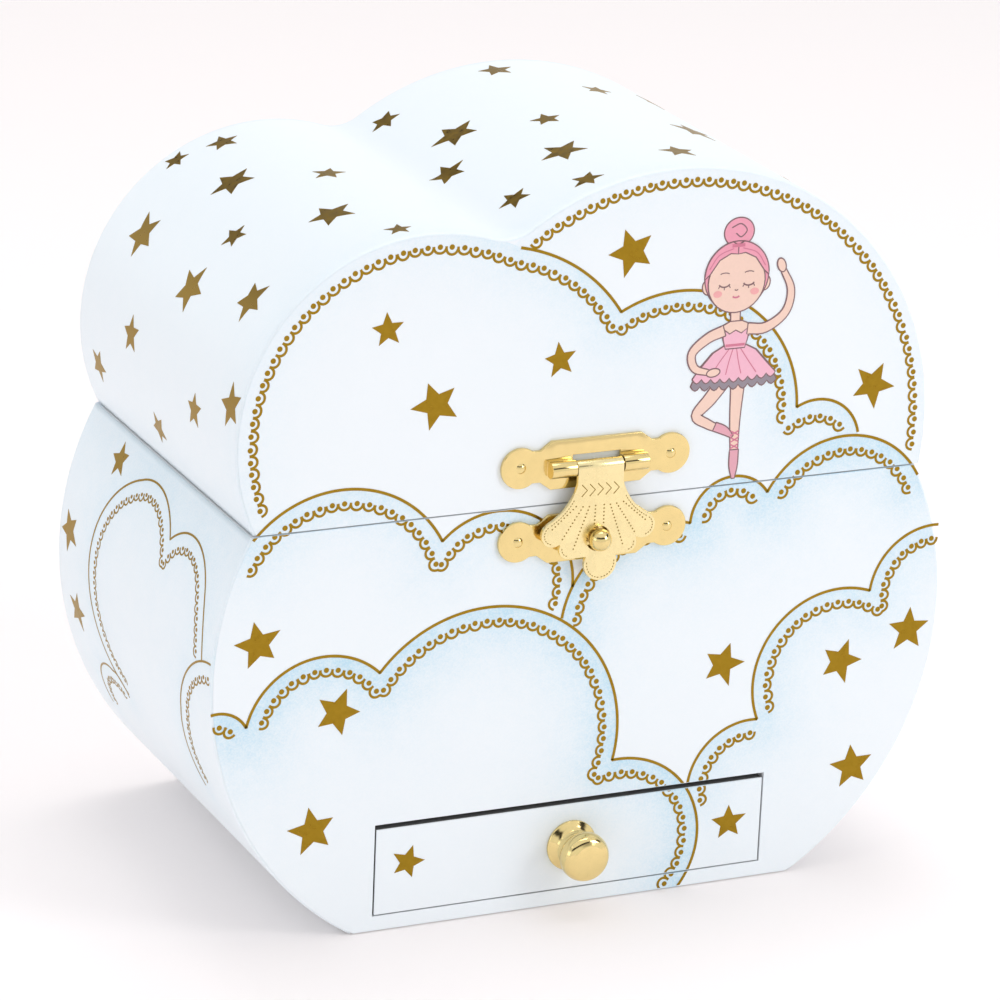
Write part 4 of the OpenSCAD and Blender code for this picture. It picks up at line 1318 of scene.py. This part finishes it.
def tutu():
    """Four gathered layers of tulle, each a ring with a rippled rim."""
    axis_y = (low("dancer_tutu").y + high("dancer_tutu").y) / 2
    outer, top = high("dancer_tutu").x, high("dancer_tutu").z
    layers = []
    for n in range(4):
        reach, start_z = outer - 0.35 - 0.55 * n, top - 1.5 - 0.35 * (3 - n)
        ripples, turn = 17 + 2 * n, 0.7 * n
        rings, inner = [], 2.35

        def spot(share, angle):
            r = inner + (reach - inner) * share
            wave = math.sin(ripples * angle + turn) + 0.35 * math.sin((ripples // 2) * angle + 2 * turn)
            return r, start_z + 0.4 * share - 1.1 * share**2 + 0.42 * share**1.4 * wave

        steps, sides = 9, 204
        for i in range(steps + 1):
            ring = []
            for k in range(sides):
                angle = 2 * math.pi * k / sides
                r, z = spot(i / steps, angle)
                ring.append((r * math.cos(angle), axis_y + r * math.sin(angle), z + 0.06))
            rings.append(ring)
        rings += [[(x, y, z - 0.12) for x, y, z in ring] for ring in reversed(rings)]
        vertices = [p for ring in rings for p in ring]
        faces = grid_faces(len(rings), sides)
        last = (len(rings) - 1) * sides
        faces += [[last + k, last + (k + 1) % sides, (k + 1) % sides, k] for k in range(sides)]
        layer = outward(new_object(f"tutu_layer_{n + 1}", vertices, faces, smooth=True))
        paint(layer, "tulle")
        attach(layer, "dancer")
        layers.append((layer, reach))
    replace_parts(layers[0][0], "dancer_tutu")
    for layer, reach in layers:
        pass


def sculpted_dancer():
    """A small moulded ballerina on one toe, arms raised in a ring, eyes closed."""
    y0, z0 = (low("dancer_tutu").y + high("dancer_tutu").y) / 2, low("dancer_figure").z
    at = lambda x, y, z, *radius: (x, y0 + y, z0 + z, *radius)
    parts = []

    def add(obj, look):
        parts.append(dress(obj, look))

    stand = [(0, 0), (2.9, 0), (3.0, 0.15), (2.95, 0.9), (2.6, 1.3), (1.2, 1.5), (0.8, 1.7), (0, 1.75)]
    add(turned("stand", stand, lambda a, b, along: (a, y0 + b, z0 + along), 48), "white_plastic")
    add(limb("leg", [at(0, 0, 3.4, 0.55), at(0.05, 0.15, 5.6, 0.82), at(-0.1, 0.25, 7.4, 0.95),
                     at(-0.2, 0.0, 9.6, 0.8), at(-0.5, 0, 12.2, 1.2), at(-0.8, 0, 14.4, 1.4)]), "doll_skin")
    add(limb("shoe", [at(0, 0, 1.6, 0.34), at(0, -0.05, 2.4, 0.5), at(0, 0.05, 3.1, 0.62),
                      at(0, 0.05, 3.8, 0.6)]), "satin")
    add(limb("bent_leg", [at(0.9, 0, 14.0, 1.35), at(2.6, -0.8, 12.2, 1.2), at(4.3, -1.5, 10.4, 0.9),
                          at(3.4, -1.4, 9.4, 0.8), at(1.9, -1.15, 8.3, 0.7)]), "doll_skin")
    add(limb("bent_shoe", [at(2.1, -1.2, 8.45, 0.68), at(1.4, -1.15, 7.9, 0.62), at(0.75, -1.1, 7.3, 0.4)]),
        "satin")
    add(limb("body", [at(0, 0, 13.2, 1.9), at(0, 0, 15.0, 2.2), at(0, 0, 17.3, 1.5), at(0, 0, 19.3, 1.95),
                      at(0, 0, 20.4, 2.0)], 28, flat=0.78), "satin")
    add(limb("chest", [at(0, 0, 19.6, 1.85), at(0, 0, 20.9, 2.15), at(0, 0, 21.7, 1.3), at(0, 0, 22.3, 0.85)],
             28, flat=0.72), "doll_skin")
    add(limb("neck", [at(0, 0, 21.6, 0.85), at(0, 0, 23.0, 0.78), at(0, 0, 24.4, 0.85)]), "doll_skin")
    add(ball("head", (0, y0, z0 + 26.5), (2.75, 2.8, 3.15)), "doll_skin")
    add(ball("hair", (0, y0 + 0.42, z0 + 27.05), (3.02, 2.95, 3.05), tilt=-12), "doll_hair")
    add(ball("bun", (0, y0 + 0.6, z0 + 30.7), (1.7, 1.7, 1.45)), "doll_hair")
    for i in range(2):
        curl = 1 - 0.35 * i
        ring = [at(1.25 * math.cos(a) * curl, 0.6 + 1.25 * math.sin(a) * curl, 31.35 + 0.45 * i, 0.3)
                for a in (2 * math.pi * k / 12 for k in range(13))]
        add(limb(f"curl_{i}", ring, 10, 3), "doll_hair")
    tie = [at(1.45 * math.cos(a), 0.5 + 1.45 * math.sin(a), 29.55, 0.22)
           for a in (2 * math.pi * k / 12 for k in range(13))]
    add(limb("hair_tie", tie, 10, 3), "satin")
    for side in (-1, 1):
        add(limb("arm", [at(side * 1.9, 0, 20.9, 0.75), at(side * 3.3, -0.5, 21.6, 0.66),
                         at(side * 5.5, -1.7, 24.2, 0.52), at(side * 5.2, -2.3, 28.0, 0.45),
                         at(side * 3.4, -2.6, 31.4, 0.36)]), "doll_skin")
        add(limb("hand", [at(side * 3.4, -2.6, 31.4, 0.38), at(side * 2.6, -2.7, 32.2, 0.42),
                          at(side * 1.6, -2.8, 32.7, 0.24)], flat=0.7), "doll_skin")
        add(ball("ear", (side * 2.72, y0 + 0.1, z0 + 26.2), (0.3, 0.45, 0.6), 14), "doll_skin")
        lash = [at(side * (0.55 + 0.24 * k), -2.72 + 0.055 * k**1.3,
                   26.35 - 0.22 * math.sin(math.pi * k / 4), 0.07) for k in range(5)]
        add(limb("closed_eye", lash, 8, 3), "doll_ink")
        add(ball("cheek", (side * 1.45, y0 - 2.28, z0 + 25.5), (0.5, 0.12, 0.36), 16), "doll_blush")
        strap = [at(side * 1.5, -1.25, 19.6, 0.2), at(side * 1.75, -0.6, 21.3, 0.2),
                 at(side * 1.6, 0.9, 20.6, 0.2)]
        add(limb("strap", strap, 8, 4), "satin")
    add(ball("nose", (0, y0 - 2.8, z0 + 25.95), (0.24, 0.26, 0.24), 14), "doll_skin")
    mouth = [at(-0.42 + 0.21 * k, -2.66, 25.1 - 0.12 * math.sin(math.pi * k / 4), 0.08) for k in range(5)]
    add(limb("mouth", mouth, 8, 3), "doll_lips")
    figure = join("dancer_figure_sculpted", parts)
    for polygon in figure.data.polygons:
        polygon.use_smooth = len(polygon.vertices) < 8
    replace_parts(figure, "dancer_figure")
    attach(figure, "dancer")


# ---- the printed dancer on the lid: a plain ballerina, eyes closed ----

def taper(line, widths):
    """Outline of a limb along a smooth line with the given widths."""
    path = smooth_line([(*p, w) for p, w in zip(line, widths)], 6)
    left, right = [], []
    for i, p in enumerate(path):
        ahead = path[min(i + 1, len(path) - 1)][:2] - path[max(i - 1, 0)][:2]
        ahead /= np.linalg.norm(ahead)
        across = np.array((-ahead[1], ahead[0])) * p[2] / 2
        left.append(p[:2] + across)
        right.append(p[:2] - across)
    return left + right[::-1]


def oval(x, z, rx, rz, turn=0.0, start=0, end=360, steps=36):
    """Points round an ellipse, or part of one."""
    c, s = math.cos(math.radians(turn)), math.sin(math.radians(turn))
    points = []
    for i in range(steps if end - start == 360 else steps + 1):
        a = math.radians(start + (end - start) * i / steps)
        u, v = rx * math.cos(a), rz * math.sin(a)
        points.append(np.array((x + u * c - v * s, z + u * s + v * c)))
    return points


def printed_dancer():
    """Flat inks in layers, each a hair above the last, with a fine outline."""
    inks = {}
    state = {"layer": 0}

    def ink_build(name):
        return inks.setdefault(name, Build())

    def shape(name, loop, outline=True):
        state["layer"] += 1
        height = 0.062 + 0.003 * state["layer"]
        ink_build(name).prism(loop, top=height)
        if outline:
            ink_build("line").ribbon([*loop, loop[0]], 0.26, top=height + 0.0015)

    def line(name, points, width=0.26):
        state["layer"] += 1
        ink_build(name).ribbon(points, width, top=0.066 + 0.003 * state["layer"])

    hair_x, head_z = 29.3, 130.2
    shape("hair", oval(hair_x, 139.9, 3.3, 3.0))
    line("line", smooth_line([(27.6, 140.9), (29.6, 141.6), (31.0, 140.2), (29.8, 138.9), (28.6, 139.7)], 6))
    shape("skin", oval(22.9, 128.9, 1.1, 1.5, 12))
    shape("skin", oval(35.7, 128.9, 1.1, 1.5, -12))
    shape("hair", oval(hair_x, head_z + 0.7, 7.1, 7.2))
    # the far arm, legs and skirt come behind the bodice
    shape("skin", taper([(30.9, 109.5), (30.7, 101.0), (30.9, 93.4)], [3.2, 2.3, 1.6]))
    shape("satin", taper([(30.9, 94.4), (30.9, 91.0), (31.0, 88.3)], [2.0, 1.9, 0.7]))
    shape("skin", taper([(28.0, 109.5), (24.8, 105.6), (22.0, 102.4), (24.6, 100.4), (26.8, 99.3)],
                        [3.2, 2.9, 2.2, 1.9, 1.6]))
    shape("satin", taper([(26.2, 99.7), (28.4, 98.7), (30.3, 97.2)], [1.9, 1.8, 0.7]))
    for z in (94.6, 96.0, 97.4):
        line("satin_dark", [(29.9, z), (31.8, z + 1.0)], 0.3)
        line("satin_dark", [(31.8, z), (29.9, z + 1.0)], 0.3)
    hem = [(20.3, 108.6)]
    for i in range(9):
        x0, x1 = 20.3 + 2.13 * i, 20.3 + 2.13 * (i + 1)
        hem += [(x0 + (x1 - x0) * t,
                 108.6 - 0.9 * math.sin(math.pi * t) - 0.5 * math.sin(math.pi * (i + t) / 9))
                for t in (0.25, 0.5, 0.75, 1.0)]
    skirt = [*hem, (37.4, 112.2), (34.6, 115.2), (31.9, 116.6), (27.5, 116.6), (24.8, 115.2), (22.0, 112.2)]
    shape("trim", skirt)
    lifted = [(29.7 + (x - 29.7) * 0.97, z + 1.5 if z < 110 else z) for x, z in skirt]
    shape("dress", lifted)
    for x0, x1 in ((28.6, 24.6), (29.4, 28.0), (30.1, 31.4), (30.9, 34.8)):
        line("satin_dark", smooth_line([(x0, 115.9), ((x0 + x1) / 2 - 0.1, 113.2), (x1, 110.4)], 5), 0.22)
    shape("skin", taper([(29.6, 119.4), (29.5, 121.6), (29.4, 124.4)], [2.5, 2.1, 2.2]))
    shape("skin", [(26.5, 120.6), (28.4, 121.5), (31.0, 121.5), (33.0, 120.6), (32.8, 118.2), (26.8, 118.2)])
    shape("dress", [(26.9, 120.0), (28.4, 118.9), (29.7, 119.6), (31.0, 118.9), (32.6, 120.0), (32.5, 117.8),
                    (31.9, 115.8), (27.6, 115.8), (27.0, 117.8)])
    line("satin_dark", [(27.6, 116.5), (31.9, 116.5)], 0.55)
    shape("skin", taper([(32.3, 119.7), (36.4, 119.6), (40.6, 122.4), (41.6, 127.0), (39.6, 131.4)],
                        [2.3, 2.1, 1.8, 1.6, 1.2]))
    shape("skin", oval(39.2, 132.3, 0.9, 1.5, 20))
    shape("skin", taper([(27.2, 119.7), (23.6, 118.4), (20.3, 115.6), (21.0, 112.4), (24.2, 111.2)],
                        [2.3, 2.1, 1.8, 1.6, 1.2]))
    shape("skin", oval(25.2, 111.1, 1.5, 0.85, 8))
    shape("skin", oval(hair_x, head_z - 0.6, 6.3, 6.3))
    # hair drawn back from a middle parting
    for side in (-1, 1):
        fringe = [(hair_x, 137.2)]
        fringe += [tuple(p) for p in oval(hair_x, head_z + 0.7, 7.1 * side, 7.2, 0, 80, -2, 14)]
        fringe += [(hair_x + 6.0 * side, 131.6), (hair_x + 4.0 * side, 134.4), (hair_x + 1.6 * side, 135.6),
                   (hair_x, 135.4)]
        shape("hair", fringe)
        line("satin_dark", smooth_line([(hair_x + 1.0 * side, 136.6), (hair_x + 4.2 * side, 135.4),
                                        (hair_x + 6.2 * side, 132.6)], 5), 0.22)
        eye = oval(hair_x + 2.7 * side, 129.6, 1.25, 0.85, 0, 200, 340, 8)
        line("line", eye, 0.3)
        for k, reach in ((1, 0.55), (4, 0.6), (7, 0.55)):
            foot = eye[k]
            line("line", [foot, foot + np.array(((k - 4) * 0.11, -reach))], 0.2)
        line("line", oval(hair_x + 2.7 * side, 131.0, 1.3, 0.7, 0, 40, 140, 6), 0.2)
        shape("blush", oval(hair_x + 4.1 * side, 127.4, 0.95, 0.7), False)
    line("line", oval(hair_x, 128.3, 0.4, 0.4, 0, 210, 330, 5), 0.2)
    line("lips", oval(hair_x, 126.9, 0.8, 0.5, 0, 205, 335, 6), 0.34)
    line("satin_dark", [(27.9, 137.2), (30.7, 137.2)], 0.7)
    looks = dict(skin="ink_skin", hair="ink_hair", dress="ink_dress", satin="ink_shoe", satin_dark="ink_rose",
                 trim="ink_trim", line="ink_line", blush="ink_blush", lips="ink_rose")
    for name, build in inks.items():
        piece = build.object("print_" + name)
        paint(piece, looks[name])
        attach(piece, "lid")


BACK_STARS = [
    ("lid", -48, 122, 4.8, 20), ("lid", -22, 104, 3.6, 70), ("lid", 4, 128, 5.0, 100),
    ("lid", 30, 112, 3.6, 40),
    ("lid", 54, 126, 4.6, 10), ("lid", 61, 98, 3.8, 85), ("lid", -60, 97, 3.4, 50), ("lid", 14, 145, 3.4, 15),
    ("base", -62, 66, 5.0, 95), ("base", -66, 34, 3.8, 30), ("base", -42, 20, 4.8, 75),
    ("base", -20, 70, 3.6, 10),
    ("base", 20, 22, 3.8, 60), ("base", 24, 68, 4.8, 35), ("base", 58, 52, 5.0, 100),
    ("base", 50, 16, 3.6, 80),
    ("base", 72, 74, 3.4, 20), ("base", -12, 14, 3.4, 50),
]


def back_stars():
    for body in ("lid", "base"):
        build = Build(lambda p, height: (p[0], BACK + height, p[1]))
        for i, (owner, x, z, radius, turn) in enumerate(BACK_STARS):
            if owner == body:
                build.prism(star_points((x, z), radius, turn, 200 + i))
        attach(paint(build.object(body + "_back_foil"), "foil"), body)


def paint_nodes():
    """CAD nodes that keep their own shape, by material."""
    looks = {
        "paper_plain": ["base_back_board", "lid_back_board"],
        "board": ["base_bottom_board", "base_front_board", "base_left_wall", "base_right_wall",
                  "lid_front_board", "lid_top_band", "drawer_left_side", "drawer_right_side", "drawer_back",
                  "drawer_bottom"],
        # the drawer's front board and the bay walls are near black, as painted shadow for the gap round the
        # drawer
        "dark_board": ["drawer_front_board", "drawer_bay_walls"],
        "lining": ["trough_riser", "stage_board", "trough_divider", "mirror_board", "stop_block",
                   "drawer_shelf"],
        "velvet": ["ring_rolls", "drawer_lining"],
        "clasp": ["clasp_lower_plate", "clasp_stud", "base_clasp_nails", "clasp_upper_plate", "clasp_pin",
                  "lid_clasp_nails", "drawer_knob"],
        "hasp": ["clasp_hasp"],
        "hinge": ["base_hinge_leaves", "hinge_pins", "lid_hinge_leaves", "winding_key", "spindle_bush"],
        "steel": ["movement_screws", "music_comb", "knob_screw", "winding_arbor", "dancer_spindle",
                  "dancer_spring", "stop_wire"],
        "blued": ["mainspring"],
        "cast": ["movement_bedplate", "governor_bracket"],
        "turned": ["spring_barrel", "music_cylinder"],
        "gear": ["governor_gear", "governor_fly"],
        "mirror": ["mirror"],
        "white_plastic": ["dancer_turntable"],
        "doll_skin": ["dancer_figure"],
        "tulle": ["dancer_tutu"],
    }
    for name, members in looks.items():
        for node in members:
            nodes[node].data.materials.clear()
            nodes[node].data.materials.append(MATERIALS[name])


def make_materials():
    mirror, _, _ = material("silvered_glass", (0.93, 0.95, 0.96), 0.02, 1.0, Coat_Weight=1.0)
    MATERIALS.update(
        paper=printed_paper(),
        paper_plain=card("plain_paper", (0.87, 0.91, 0.96), (0.82, 0.88, 0.94)),
        board=card("white_board", (0.88, 0.89, 0.90), (0.80, 0.82, 0.84)),
        # near-black board: painted shadow for the gap above and beside the drawer
        dark_board=card("dark_board", (0.10, 0.10, 0.10), (0.14, 0.14, 0.135)),
        lining=card("rose_lining", (0.92, 0.70, 0.74), (0.88, 0.63, 0.68)),
        foil=foil(),
        velvet=velvet(),
        clasp=brass("polished_brass", (0.88, 0.69, 0.31), 0.08, 0.18),
        hasp=brass("satin_brass", (0.95, 0.80, 0.43), 0.2, 0.32),
        engraving=brass("brass_engraving", (0.30, 0.19, 0.04), 0.3, 0.5),
        hinge=brass("hinge_brass", (0.80, 0.58, 0.24), 0.22, 0.36),
        turned=brass("turned_brass", (0.80, 0.60, 0.26), 0.18, 0.30),
        steel=brushed_steel("bright_steel"),
        blued=brushed_steel("blued_steel", (0.22, 0.26, 0.34), 0.3),
        cast=brushed_steel("cast_zinc", (0.55, 0.55, 0.54), 0.45),
        gear=plastic("ivory_nylon", (0.86, 0.83, 0.74), 0.45),
        white_plastic=plastic("white_plastic", (0.93, 0.92, 0.91), 0.25, 0.4),
        doll_skin=plastic("doll_skin", (0.88, 0.58, 0.46), 0.4, 0.2),
        doll_hair=plastic("doll_hair", (0.20, 0.09, 0.045), 0.38, 0.2),
        doll_ink=plastic("doll_ink", (0.06, 0.035, 0.03), 0.4),
        doll_blush=plastic("doll_blush", (0.90, 0.42, 0.40), 0.5),
        doll_lips=plastic("doll_lips", (0.72, 0.16, 0.20), 0.35),
        satin=plastic("rose_satin", (0.90, 0.42, 0.52), 0.28, 0.3),
        tulle=plastic("rose_tulle", (0.95, 0.66, 0.74), 0.7),
        ink_skin=ink("ink_skin", (0.93, 0.66, 0.55)),
        ink_hair=ink("ink_hair", (0.88, 0.36, 0.47)),
        ink_dress=ink("ink_dress", (0.92, 0.50, 0.62)),
        ink_shoe=ink("ink_shoe", (0.80, 0.40, 0.48)),
        ink_rose=ink("ink_rose", (0.68, 0.20, 0.30)),
        ink_trim=ink("ink_trim", (0.30, 0.26, 0.30)),
        ink_line=ink("ink_line", (0.22, 0.12, 0.13)),
        ink_blush=ink("ink_blush", (0.90, 0.42, 0.42)),
        mirror=mirror,
    )


look_camera()
make_materials()
studio()
paint_nodes()
front_sheets()
wrapped_papers()
split_front_foil(front_foil())
hardware()
ring_rolls()
drawer_lining()
sculpted_dancer()
tutu()
printed_dancer()
back_stars()
